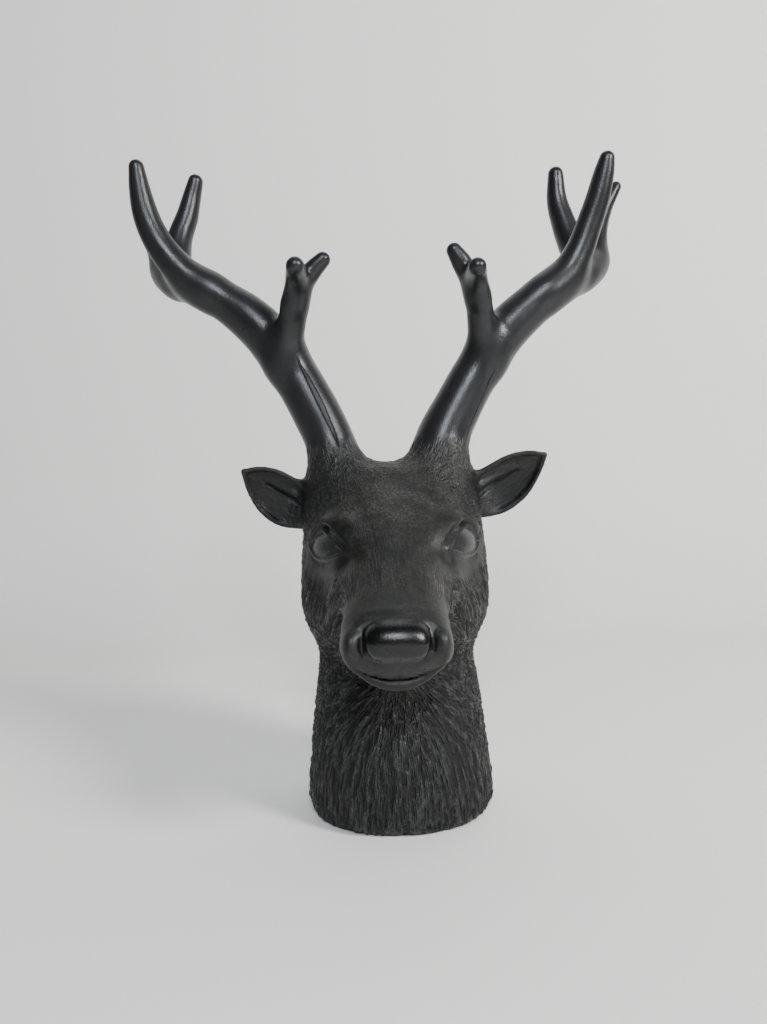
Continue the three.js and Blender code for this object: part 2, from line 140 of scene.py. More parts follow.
LUMPS = (
    Lump("brow ridge", (32, -29, 133.5), (10, 10, 5), 2.4),
    Lump("brow corner", (40, -16, 127.5), (6, 8, 7), 1.0),
    Lump("eye socket", (31, -30, 122.5), (9, 9.5, 7.5), -3.4),
    Lump("tear duct", (19.5, -43, 117), (4, 5.5, 5), -1.0),
    Lump("hollow below the eye", (34, -36, 107.5), (9, 13, 6), -2.6),
    Lump("cheekbone", (40, -24, 110), (6, 14, 6), 1.2),
    Lump("cheek", (37, -12, 92), (12, 20, 12), 1.6),
    Lump("hollow beside the muzzle", (25, -52, 90), (8, 14, 11), -1.9),
    Lump("upper lip", (18, -77, 86), (6, 9, 6.5), 1.6),
    Lump("lip beside the nostril", (17.8, -84, 89), (2.6, 5, 8), 2.0),
    Lump("furrow beside the nostril", (14.8, -90, 84), (1.6, 5, 6), -0.8),
    Lump("pedicle", (25, 9, 155), (14, 15, 13), 3.6),
    Lump("temple hollow", (38, -4, 141), (8, 12, 8), -1.0),
)

# Antlers, as on the +X side: stations of x, y, z, radius

ANTLER = {
    "beam": [
        (20.5, 7, 134, 17.0),
        (22.0, 9.5, 151, 15.6),
        (25.0, 12, 168, 12.8),
        (33.0, 14, 183.8, 11.5),
        (42.3, 16, 199.4, 11.2),
        (55.5, 18, 217.5, 11.0),
        (70.1, 19.5, 231.1, 10.2),
        (80.0, 20, 238.8, 9.3),
        (88.0, 20, 246.0, 8.3),
        (94.1, 19.5, 256.6, 7.0),
        (98.8, 18.5, 268.9, 6.2),
        (103.0, 17, 281.1, 5.7),
        (105.5, 15.5, 291.7, 4.9),
        (106.6, 14, 297.8, 3.7),
    ],
    "rear_outer": [
        (78.0, 20, 237.0, 8.0),
        (90.0, 26, 244.0, 8.8),
        (100.0, 34, 250.0, 9.2),
        (107.0, 41, 256.5, 8.4),
        (109.6, 46, 266.0, 6.6),
        (112.0, 49, 276.0, 5.2),
        (116.4, 52, 287.0, 4.3),
        (123.4, 54, 298.8, 3.0),
    ],
    "rear_inner": [
        (98.0, 32, 249.5, 6.4),
        (97.6, 38, 259.0, 6.9),
        (95.6, 43, 269.5, 6.6),
        (93.0, 46, 280.6, 6.0),
        (90.8, 47.5, 291.0, 5.1),
        (90.3, 47, 303.5, 3.9),
    ],
    "brow_front": [
        (47.5, 16, 205.0, 8.6),
        (45.5, 10, 217.0, 7.0),
        (43.3, 4, 228.5, 6.1),
        (41.2, -3, 236.5, 5.5),
        (40.0, -12, 240.5, 4.8),
        (39.4, -20, 240.6, 4.0),
    ],
    "brow_inner": [
        (41.8, 0.5, 232.5, 5.4),
        (38.0, -2.5, 241.0, 5.0),
        (34.5, -4, 247.0, 4.6),
        (31.2, -5, 252.0, 3.5),
    ],
}

WIDE_ANTLER = {
    "beam": [
        (20.5, 7, 134, 17.0),
        (24.5, 9.5, 151, 14.6),
        (28.0, 12, 167.7, 11.8),
        (34.5, 14, 183.1, 11.6),
        (42.8, 16, 199.1, 11.3),
        (54.0, 18, 217.0, 11.4),
        (62.9, 19, 227.3, 11.0),
        (75.4, 20, 237.2, 9.6),
        (85.5, 20.5, 243.6, 9.0),
        (95.0, 20, 250.9, 8.2),
        (103.4, 19.5, 260.7, 7.2),
        (109.0, 18.5, 270.6, 6.6),
        (112.2, 17.5, 280.5, 6.0),
        (113.8, 16, 291.2, 4.9),
        (114.4, 14.5, 299.8, 3.7),
    ],
    "rear_outer": [
        (84.0, 21, 243.0, 8.0),
        (94.0, 27, 247.6, 8.6),
        (103.0, 35, 252.0, 8.8),
        (109.5, 42, 258.0, 8.0),
        (113.5, 47, 268.0, 6.2),
        (118.0, 50, 279.0, 5.2),
        (122.0, 52, 290.0, 4.2),
        (124.5, 53, 299.0, 3.1),
    ],
    "rear_inner": [
        (101.0, 33, 250.5, 6.4),
        (103.0, 38.5, 259.5, 7.0),
        (103.4, 42.5, 268.5, 6.7),
        (102.4, 45, 277.0, 6.2),
        (99.0, 47, 287.1, 5.6),
        (96.6, 47.5, 296.0, 4.8),
        (94.0, 47, 304.5, 3.9),
    ],
    "brow_front": [
        (48.0, 16, 206.0, 8.8),
        (46.0, 10, 217.0, 7.3),
        (42.6, 4, 228.0, 6.4),
        (40.2, -3, 237.0, 5.6),
        (39.2, -12, 242.2, 4.8),
        (39.0, -20, 243.2, 4.0),
    ],
    "brow_inner": [
        (41.5, 1, 231.5, 5.6),
        (37.5, -2, 239.5, 4.9),
        (32.6, -4, 245.3, 4.4),
        (27.8, -5, 249.6, 3.5),
    ],
}

# How widely each bar is filleted to the ones before it
FORK_FILLETS = {
    "beam": 1.0,
    "rear_outer": 6.0,
    "rear_inner": 5.0,
    "brow_front": 6.0,
    "brow_inner": 3.5,
}

# Fine lines that the mould left on the antlers: the side, z with x and y of points along each, and
# half the gap where the line is a pair
SEAMS = (
    (Side.MINUS_X, [(166, 23.4, -0.2), (179, 28.6, 2.4), (192, 34.2, 4.2), (207, 41.6, 5.4)], 1.3),
    (Side.PLUS_X, [(163, 34.0, 5.0), (172, 36.6, 6.0), (186, 43.0, 9.0), (200, 50.0, 12.0)], 0.0),
)

# Share of the ear's length, reach above its line, reach below it, bulge of the back, hollow
EAR_OUTLINE = (
    (0, 6.0, 6.0, 6.0, -5.0),
    (0.16, 8.6, 9.6, 6.8, -3.0),
    (0.29, 9.4, 12.8, 7.2, 0.8),
    (0.4, 9.8, 14.0, 7.2, 3.4),
    (0.52, 9.8, 13.9, 6.8, 3.8),
    (0.63, 9.6, 12.8, 6.0, 3.4),
    (0.73, 8.8, 10.8, 5.2, 2.8),
    (0.84, 6.8, 7.4, 4.0, 1.8),
    (0.92, 4.4, 4.6, 2.8, 0.8),
    (1, 0.9, 0.9, 1.2, -0.6),
)

# The muzzle's front leans to -X by this much
NOSE_LEAN = 1.8

# Nostril on the +X side: across, behind the nose, above its line, radius
NOSTRIL = (
    (12.3, 6.2, 4.2, 0.4),
    (13.0, 3.8, 2.4, 1.0),
    (13.2, 2.2, 0.2, 1.2),
    (12.6, 1.2, -2.6, 0.6),
)

# The lower lip's rim, likewise
LOWER_LIP = (
    (0, -0.4, -17.3, 1.7),
    (6, 0.3, -16.8, 1.7),
    (11, 2.2, -15.3, 1.6),
    (15.5, 5.8, -13.0, 1.2),
)


# Distances

def unit(v: Sequence[float]) -> Array:
    """A vector's direction.

    Args:
        v: Any vector.

    Returns:
        It, one long.
    """
    a = np.asarray(v, float)
    return a / np.linalg.norm(a)


def step(low: float, high: float, x: Array) -> Array:
    """A smooth step.

    Args:
        low: Where it leaves 0.
        high: Where it reaches 1.
        x: Values.

    Returns:
        The step at each value.
    """
    t = np.clip((x - low) / (high - low), 0, 1)
    return t * t * (3 - 2 * t)


def bell(x: Array, middle: float, width: float) -> Array:
    """A bell curve.

    Args:
        x: Values.
        middle: Where it is 1.
        width: How far from there it has fallen to about a third.

    Returns:
        The curve at each value.
    """
    return np.exp(-(((x - middle) / width) ** 2))


def union(a: Array, b: Array, fillet: float) -> Array:
    """The lesser of two distances, with a fillet where they meet.

    Args:
        a: One distance.
        b: The other.
        fillet: How near each other they are where it starts.

    Returns:
        The joined distance.
    """
    h = np.maximum(fillet - np.abs(a - b), 0) / fillet
    return np.minimum(a, b) - h * h * fillet / 4


def cut(a: Array, b: Array, rounding: float) -> Array:
    """The greater of two distances, with a rounded edge.

    Args:
        a: One distance.
        b: The other.
        rounding: How near each other they are where it starts.

    Returns:
        What both have in common.
    """
    return -union(-a, -b, rounding)


def oval(x: Array, half: Array, y: Array, low: Array, high: Array, power: Array | float) -> Array:
    """A distance to an oval section.

    Args:
        x: Places across it.
        half: Its half width.
        y: Places the other way.
        low: Its lowest reach that way.
        high: Its highest reach.
        power: 2 for an ellipse, more for a squarer one.

    Returns:
        About how far outside it each place is.
    """
    tall = (high - low) / 2
    reach = (np.abs(x / half) ** power + np.abs((y - (low + high) / 2) / tall) ** power) ** (
        1 / power
    )
    return (reach - 1) * np.minimum(half, tall)


@dataclass
class Outline:
    """A smooth curve through stations, read at many positions at once.

    Args:
        rows: For each station, its position and then its values.
    """

    rows: Rows

    def __post_init__(self) -> None:
        """Works out the slopes at the stations."""
        table = np.asarray(self.rows, float)
        self.at, self.values = table[:, 0], table[:, 1:]
        ahead = np.minimum(np.arange(len(table)) + 1, len(table) - 1)
        behind = np.maximum(np.arange(len(table)) - 1, 0)
        run = (self.at[ahead] - self.at[behind])[:, None]
        self.slopes = (self.values[ahead] - self.values[behind]) / run

    def __call__(self, position: Array) -> Array:
        """Reads the curve.

        Args:
            position: Where; it is clamped to the ends.

        Returns:
            One row of each value.
        """
        x = np.clip(position, self.at[0], self.at[-1])
        i = np.clip(np.searchsorted(self.at, x, side="right") - 1, 0, len(self.at) - 2)
        span = self.at[i + 1] - self.at[i]
        t = ((x - self.at[i]) / span)[:, None]
        t2, t3 = t * t, t * t * t
        span = span[:, None]
        made = (
            self.values[i] * (2 * t3 - 3 * t2 + 1)
            + self.slopes[i] * span * (t3 - 2 * t2 + t)
            + self.values[i + 1] * (3 * t2 - 2 * t3)
            + self.slopes[i + 1] * span * (t3 - t2)
        )
        return made.T


@dataclass(frozen=True)
class Unevenness:
    """Smooth noise on a lattice, the same in each run.

    Args:
        size: Distance between lattice points.
        seed: Which noise.
    """

    size: float
    seed: int

    def _lattice(self, cell: Array) -> Array:
        """The noise at lattice points.

        Args:
            cell: The points, counted in whole steps.

        Returns:
            A value from -1 to 1 at each.
        """
        keys = cell.astype(np.int64)
        mixed = keys[:, 0] * 73856093 ^ keys[:, 1] * 19349663 ^ keys[:, 2] * 83492791
        mixed = (mixed + self.seed * 9176) & 0x7FFFFFFF
        mixed = ((mixed ^ (mixed >> 13)) * 1274126177) & 0x7FFFFFFF
        return ((mixed ^ (mixed >> 16)) & 0xFFFF) / 32767.5 - 1

    def __call__(self, p: Array) -> Array:
        """Reads the noise.

        Args:
            p: Points.

        Returns:
            A value from -1 to 1 at each.
        """
        q = p / self.size
        base = np.floor(q)
        f = q - base
        f = f * f * (3 - 2 * f)
        total = np.zeros(len(p))
        for corner in np.ndindex(2, 2, 2):
            at = np.asarray(corner)
            weight = np.prod(np.where(at, f, 1 - f), axis=1)
            total += weight * self._lattice(base + at)
        return total


def on_muzzle(p: Array) -> tuple[Array, Array]:
    """The place on the muzzle's own axis.

    Args:
        p: Points.

    Returns:
        Distance behind the nose, and height above its line.
    """
    dy, dz = p[:, 1] - NOSE_Y, p[:, 2] - NOSE_Z
    behind = dy * math.cos(FACE_SLOPE) + dz * math.sin(FACE_SLOPE)
    return behind, -dy * math.sin(FACE_SLOPE) + dz * math.cos(FACE_SLOPE)


def off_muzzle(rows: Rows) -> list[tuple[float, ...]]:
    """Stations given on the muzzle's own axis, in the sculpture's frame.

    Args:
        rows: Across, behind, above and radius of each.

    Returns:
        x, y, z and radius of each.
    """
    c, s = math.cos(FACE_SLOPE), math.sin(FACE_SLOPE)
    return [(x, NOSE_Y + b * c - a * s, NOSE_Z + b * s + a * c, r) for x, b, a, r in rows]


def straight(p: Array) -> Array:
    """Points of the form with the muzzle's lean taken out.

    Args:
        p: Points.

    Returns:
        The same points beside a straight muzzle.
    """
    lean = NOSE_LEAN * step(-28, -76, p[:, 1])
    return np.column_stack([p[:, 0] + lean, p[:, 1], p[:, 2]])


@dataclass(frozen=True)
class Spot:
    """Points that lie close together.

    Args:
        points: The points.
        centre: Their middle.
        radius: Their reach from it.
    """

    points: Array
    centre: Array
    radius: float

    @classmethod
    def of(cls, points: Array) -> "Spot":
        """A spot with room for moving its points a little.

        Args:
            points: The points.

        Returns:
            The spot.
        """
        low, high = points.min(0), points.max(0)
        return cls(points, (low + high) / 2, float(np.linalg.norm(high - low) / 2) + 1)

    def moved(self, points: Array, room: float = 0.0) -> "Spot":
        """Other points in the same place, with a little more room."""
        return Spot(points, self.centre, self.radius + room)

    def mirrored(self, side: Side) -> "Spot":
        """The same points, as they are where that side is the +X one."""
        flip = np.array([side.value, 1, 1])
        return Spot(self.points * flip, self.centre * flip, self.radius)

    def folded(self) -> "Spot":
        """The same points, all brought to the +X side."""
        points, centre = self.points.copy(), self.centre.copy()
        points[:, 0], centre[0] = np.abs(points[:, 0]), abs(centre[0])
        return Spot(points, centre, self.radius)

    def far(self) -> Array:
        """The distances where a part is far off."""
        return np.full(len(self.points), FAR)


# Parts of the form

@dataclass
class Bar:
    """A tapering round bar along a smooth line.

    Args:
        stations: x, y, z, radius at each.
        spacing: Length of the short cones it is made of.
    """

    stations: Rows
    spacing: float = 2.6

    def __post_init__(self) -> None:
        """Cuts the line into short cones."""
        rows = np.asarray(self.stations, float)
        gaps = np.linalg.norm(np.diff(rows[:, :3], axis=0), axis=1)
        along = np.concatenate([[0], np.cumsum(gaps)])
        line = Outline(np.column_stack([along, rows]))
        count = max(int(along[-1] / self.spacing), 2)
        points = line(np.linspace(0, along[-1], count + 1)).T
        self.start, self.end = points[:-1, :3], points[1:, :3]
        self.r0, self.r1 = points[:-1, 3], points[1:, 3]
        self.run = self.end - self.start
        self.run2 = np.maximum((self.run**2).sum(1), 1e-9)
        self.middle = (self.start + self.end) / 2
        self.reach = np.sqrt(self.run2) / 2 + np.maximum(self.r0, self.r1)

    def distance(self, spot: Spot) -> Array:
        """How far points are from the bar's surface.

        Args:
            spot: The points.

        Returns:
            The distances, or FAR where the whole bar is far off.
        """
        best = spot.far()
        away = np.linalg.norm(self.middle - spot.centre, axis=1) - self.reach
        limit = min(away.min() + 2 * spot.radius + 1, spot.radius + 16)
        for k in np.flatnonzero(away < limit):
            q = spot.points - self.start[k]
            t = np.clip(q @ self.run[k] / self.run2[k], 0, 1)
            gap = np.linalg.norm(q - t[:, None] * self.run[k], axis=1)
            np.minimum(best, gap - (self.r0[k] + t * (self.r1[k] - self.r0[k])), out=best)
        return best


@dataclass
class Antler:
    """One antler: a beam, a rear beam in two tines, and a brow tine with two prongs.

    Args:
        stations: Stations of each bar, as on the +X side.
        side: The side it grows on.
        fillets: How widely each bar is filleted to the ones before it.
        lowest: The height below which none of it shows.
        ripple: How uneven its surface is.
    """

    stations: dict[str, Rows]
    side: Side
    fillets: dict[str, float] = field(default_factory=lambda: FORK_FILLETS)
    lowest: float = 125.0
    ripple: float = 0.13

    def __post_init__(self) -> None:
        """Makes its bars."""
        self.bars = {name: Bar(rows) for name, rows in self.stations.items()}
        self.uneven = Unevenness(9.0, 5 + self.side.value)

    def distance(self, spot: Spot) -> Array:
        """How far points are from the antler.

        Args:
            spot: The points.

        Returns:
            The distances.
        """
        spot = spot.mirrored(self.side)
        if spot.centre[2] + spot.radius < self.lowest or spot.centre[0] < -spot.radius - 20:
            return spot.far()
        d = spot.far()
        for name, bar in self.bars.items():
            d = union(d, bar.distance(spot), self.fillets[name])
        if d.min() < 3:
            d = d + self.ripple * self.uneven(spot.points * np.array([1, 1, 0.45]))
        return d


@dataclass(frozen=True)
class Fold:
    """A fold along an ear's hollow.

    Args:
        across: Its place below the ear's line.
        radius: Its radius at the root.
        taper: How much of that is gone at the tip.
        depth: Its share of the hollow's depth.
    """

    across: float
    radius: float
    taper: float
    depth: float


@dataclass
class Ear:
    """A leaf-shaped ear with a hollow front and a rounded rim.

    Args:
        root: Where its line starts, as on the +X side.
        tip: Where it ends.
        side: The side it is on.
        stations: Share of its length, reach above its line, below it, bulge of the back, hollow.
        faces: The way its hollow faces.
        thick: How much thicker than its stations its back is.
        ridge: A fold that stands up in the hollow.
        slit: A fold that is cut into it.
    """

    root: Point
    tip: Point
    side: Side
    stations: Rows = EAR_OUTLINE
    faces: Point = (0.3, -1.0, -0.12)
    thick: float = 0.4
    ridge: Fold = Fold(-3.8, 2.6, 2.4, 0.85)
    slit: Fold = Fold(-0.2, 1.7, 1.5, 1.0)

    def __post_init__(self) -> None:
        """Works out its directions, and makes its rim and folds."""
        self.base = np.asarray(self.root, float)
        line = np.asarray(self.tip, float) - self.base
        self.length = float(np.linalg.norm(line))
        self.lengthwise = line / self.length
        facing = np.asarray(self.faces, float)
        self.facing = unit(facing - (facing @ self.lengthwise) * self.lengthwise)
        self.down = np.cross(self.lengthwise, self.facing)
        self.outline = Outline(self.stations)
        self.rims = [Bar(self._rim(way), 2.0) for way in (1, -1)]
        self.raised, self.sunk = Bar(self._fold(self.ridge), 2.0), Bar(self._fold(self.slit), 2.0)

    def _at(self, share: float, down: float, front: float) -> Array:
        """A point, by its share of the length, reach below the line and height in front."""
        point = self.base + self.lengthwise * share * self.length
        return point + self.down * down + self.facing * front

    def _rim(self, way: int) -> list[tuple[float, ...]]:
        """Stations of the rim.

        Args:
            way: 1 for the lower one, -1 for the upper one.

        Returns:
            x, y, z and radius of each.
        """
        shares = np.linspace(0.14, 1.0, 14)
        above, below, _, _ = self.outline(shares)
        reach = below if way > 0 else -above
        return [
            (*self._at(share, out - 0.7 * way, -0.5), 1.0 - 0.4 * share)
            for share, out in zip(shares, reach)
        ]

    def _fold(self, fold: Fold) -> list[tuple[float, ...]]:
        """Stations of a fold along the hollow.

        Args:
            fold: Its sizes.

        Returns:
            x, y, z and radius of each.
        """
        rows = []
        shares = np.linspace(0.24, 0.7, 6)
        for share, deep in zip(shares, self.outline(shares)[3]):
            down = fold.across * (1.2 - share)
            point = self._at(share, down, -(max(deep, -1) * fold.depth + 0.5))
            rows.append((*point, fold.radius - fold.taper * share))
        return rows

    def distance(self, spot: Spot) -> Array:
        """How far points are from the ear.

        Args:
            spot: The points.

        Returns:
            The distances.
        """
        spot = spot.mirrored(self.side)
        if np.linalg.norm(spot.centre - self._at(0.5, 0, 0)) > spot.radius + 42:
            return spot.far()
        q = spot.points - self.base
        share, across, front = q @ self.lengthwise / self.length, q @ self.down, q @ self.facing
        above, below, bulge, hollow = self.outline(share)
        reach = np.where(across > 0, below, above)
        bulge = bulge + self.thick
        back = (np.hypot(across / reach, front / bulge) - 1) * np.minimum(reach, bulge)
        dip = hollow * np.sqrt(np.maximum(1 - (across / reach) ** 2, 0))
        d = cut(back, (front + dip) * 0.86, 0.8)
        d = cut(d, np.maximum(share - 1, -share) * self.length, 1.0)
        for rim in self.rims:
            d = union(d, rim.distance(spot), 1.8)
        d = union(d, self.raised.distance(spot), 1.2)
        return cut(d, -self.sunk.distance(spot), 0.8)


@dataclass
class Eye:
    """An almond-shaped eye between thick lids, as on the +X side.

    It is modelled in a plane of its own: lengthwise from corner to corner, upward, and out.

    Args:
        inner: Its inner corner.
        outer: Its outer corner.
        looks: The way it looks.
        bulge: The ball's reach along, up and out.
        depth: How deep the ball's middle lies.
        rise: How high the upper lid's edge is.
        peak: Where it is highest, from -1 at the inner corner to 1.
        sag: How deep the lower lid's edge is.
    """

    inner: Point = (20.9, -39.4, 121.6)
    outer: Point = (35.6, -20.8, 122.9)
    looks: Point = (0.78, -0.61, 0.12)
    bulge: Point = (14.2, 8.8, 6.2)
    depth: float = 3.1
    rise: float = 7.6
    peak: float = 0.4
    sag: float = 3.7

    def __post_init__(self) -> None:
        """Works out its middle and its directions."""
        inner, outer = np.asarray(self.inner), np.asarray(self.outer)
        self.middle = (inner + outer) / 2
        self.lengthwise = unit(outer - inner)
        self.upward = unit(np.cross(unit(self.looks), self.lengthwise))
        self.outward = np.cross(self.lengthwise, self.upward)
        self.half = float(np.linalg.norm(outer - inner) / 2)

    def upper(self, share: Array) -> Array:
        """Height of the upper lid's edge, for places along it from -1 to 1."""
        climb, fall = (1 + share) / (1 + self.peak), (1 - share) / (1 - self.peak)
        return self.rise * union(climb**0.85, fall**0.8, 0.55)

    def lower(self, share: Array) -> Array:
        """Height of the lower lid's edge, deepest towards the outer corner."""
        return -self.sag * (1 - np.abs(share) ** 2.6) * (1 + 0.3 * share)

    def place(self, p: Array) -> tuple[Array, Array, Array]:
        """Where points on the +X side are: along the eye's plane, up it and out of it."""
        q = p - self.middle
        return q @ self.lengthwise, q @ self.upward, q @ self.outward

    def ball(self, p: Array) -> Array:
        """How far points are from the eyeball.

        Args:
            p: Points on the +X side.

        Returns:
            The distances.
        """
        along, up, out = self.place(p)
        long, tall, deep = self.bulge
        reach = np.sqrt((along / long) ** 2 + (up / tall) ** 2 + ((out + self.depth) / deep) ** 2)
        return (reach - 1) * deep

    def opened(self, skin: Array, spot: Spot) -> Array:
        """The skin with the lids on it and their opening cut down to the ball.

        Args:
            skin: Distances to the skin.
            spot: Points on the +X side.

        Returns:
            Distances to the skin and the ball in it.
        """
        if np.linalg.norm(spot.centre - self.middle) >= spot.radius + 32:
            return skin
        along, up, out = self.place(spot.points)
        mound = (along / 16) ** 2 + (up / 12) ** 2 + ((out + 4.4) / 5.6) ** 2
        skin = union(skin, (mound - 1) * 3.4, 6.0)
        share = np.clip(along / self.half, -1, 1)
        beyond = np.maximum(np.abs(along) - self.half, 0)
        top = up - self.upper(share)
        bottom = self.lower(share) - up
        rim = np.maximum(top, bottom) + 0.5 * beyond
        outer = step(-1.1, 0.2, share)
        lids = (0.6 + 0.4 * outer) * bell(rim, 0.7, 0.75)
        crease = (0.7 + 0.8 * outer) * (1 - 0.5 * share**4) * bell(top, 2.4, 0.7)
        brow = 0.9 * outer * bell(top, 5.6, 2.2)
        bag = 0.5 * (1 - share**4) * bell(bottom, 2.6, 0.8)
        here = bell(beyond, 0, 2.5) * step(-9, -5, out)
        skin = skin + (crease + bag - lids - brow) * here
        opening = np.maximum(rim * 0.85 + 0.1, np.abs(along) - self.half)
        skin = cut(skin, -np.maximum(opening, -3.0 - out), 0.7)
        return union(skin, self.ball(spot.points), 0.2)


@dataclass
class Nose:
    """The bare nose pad, a barrel across the muzzle, and the nostrils beside it.

    Args:
        behind: The barrel's middle behind the nose.
        above: The same above the muzzle's axis.
        radius: Its radius.
        top: Its half width at the top.
        bottom: Its half width at the bottom.
        droop: How far it hangs for each square millimetre off its middle.
        squareness: 2 for a round pad, more for a squarer one.
        moat: Depth of the groove round it.
        roll: Height of the roll of skin behind it.
        nostril: Stations of the nostril on the +X side.
    """

    behind: float = 5.2
    above: float = 0.5
    radius: float = 7.5
    top: float = 12.4
    bottom: float = 8.2
    droop: float = 0.012
    squareness: float = 4.2
    moat: float = 0.9
    roll: float = 0.7
    nostril: Rows = NOSTRIL

    def __post_init__(self) -> None:
        """Makes the nostril."""
        self.hole = Bar(off_muzzle(self.nostril), 1.2)

    def pad(self, p: Array) -> Array:
        """How far points are from the nose pad.

        Args:
            p: Points beside a straight muzzle.

        Returns:
            The distances.
        """
        behind, above = on_muzzle(p)
        half = self.bottom + (self.top - self.bottom) * step(-8, 4, above)
        barrel = np.hypot(behind - self.behind, above - self.above + self.droop * p[:, 0] ** 2)
        power = self.squareness
        reach = (np.abs(p[:, 0] / half) ** power + (barrel / self.radius) ** power) ** (1 / power)
        return (reach - 1) * self.radius

    def added(self, d: Array, p: Array) -> Array:
        """The skin with the pad on it.

        Args:
            d: Distances to the skin.
            p: Points beside a straight muzzle.

        Returns:
            Distances to both.
        """
        behind, above = on_muzzle(p)
        pad, top = self.pad(p), step(7, 10, behind)
        moat = bell(np.maximum(pad, 0), 0, 1.6 - 0.6 * top) * (self.moat - 0.75 * top)
        moat = moat * (1 + 0.5 * step(6, 11, np.abs(p[:, 0])))
        roll = self.roll * bell(behind, 14.2, 2.2) * np.exp(-((p[:, 0] / 12) ** 4)) * (above > 0)
        return union(d + moat * (behind < 14) - roll, pad, 0.6)

    def opened(self, d: Array, spot: Spot) -> Array:
        """The skin with the nostrils cut into it.

        Args:
            d: Distances to the skin.
            spot: Points beside a straight muzzle.

        Returns:
            Distances to what is left.
        """
        spot = spot.folded()
        return cut(d, -self.hole.distance(spot.moved(spot.points, 3)), 0.8)


@dataclass
class Mouth:
    """The mouth's line, the lower lip and the chin, placed on the muzzle's own axis.

    Args:
        height: Height of the mouth's line in the middle.
        rise: How much higher it is at its corners.
        depth: Its depth.
        chin: Height of the bulge below the lip.
        philtrum: Depth of the groove from the nose to the mouth.
        folds: Depth of the fine folds in the upper lip.
        lower_lip: Stations of the lower lip's rim on the +X side.
    """

    height: float = -14.9
    rise: float = 6.4
    depth: float = 1.5
    chin: float = 1.2
    philtrum: float = 0.5
    folds: float = 0.22
    lower_lip: Rows = LOWER_LIP

    def __post_init__(self) -> None:
        """Makes the lower lip, from side to side."""
        lip = [(-x, b, a, r) for x, b, a, r in reversed(self.lower_lip[1:])]
        self.lip = Bar(off_muzzle([*lip, *self.lower_lip]), 1.6)

    def carved(self, d: Array, spot: Spot) -> Array:
        """The skin with the mouth in it.

        Args:
            d: Distances to the skin.
            spot: Points beside a straight muzzle.

        Returns:
            Distances to what is left.
        """
        x = spot.points[:, 0]
        ax = np.abs(x)
        behind, above = on_muzzle(spot.points)
        line = self.height + self.rise * (ax / 18.6) ** 3
        ends = bell(np.maximum(behind - 10, 0), 0, 13) * (1 - 0.5 * step(8, 17, ax))
        d = d + self.depth * bell(above - line, 0, 0.8) * ends
        d = union(d, self.lip.distance(spot.moved(spot.points, 3)), 2.0)
        d = d - self.chin * bell(above, -21, 3) * bell(behind, 2, 5) * np.exp(-((x / 11) ** 4))
        philtrum = bell(x, 0, 0.9) * step(-5, -8, above) * step(-14.5, -12.5, above)
        there = step(2, 5, ax) * step(16, 12, ax) * step(-14.5, -13, above) * step(-7, -8.5, above)
        folds = np.sin(1.5 * ax + 2.3 * above) * there
        return d + (self.philtrum * philtrum + self.folds * folds) * (behind < 8)


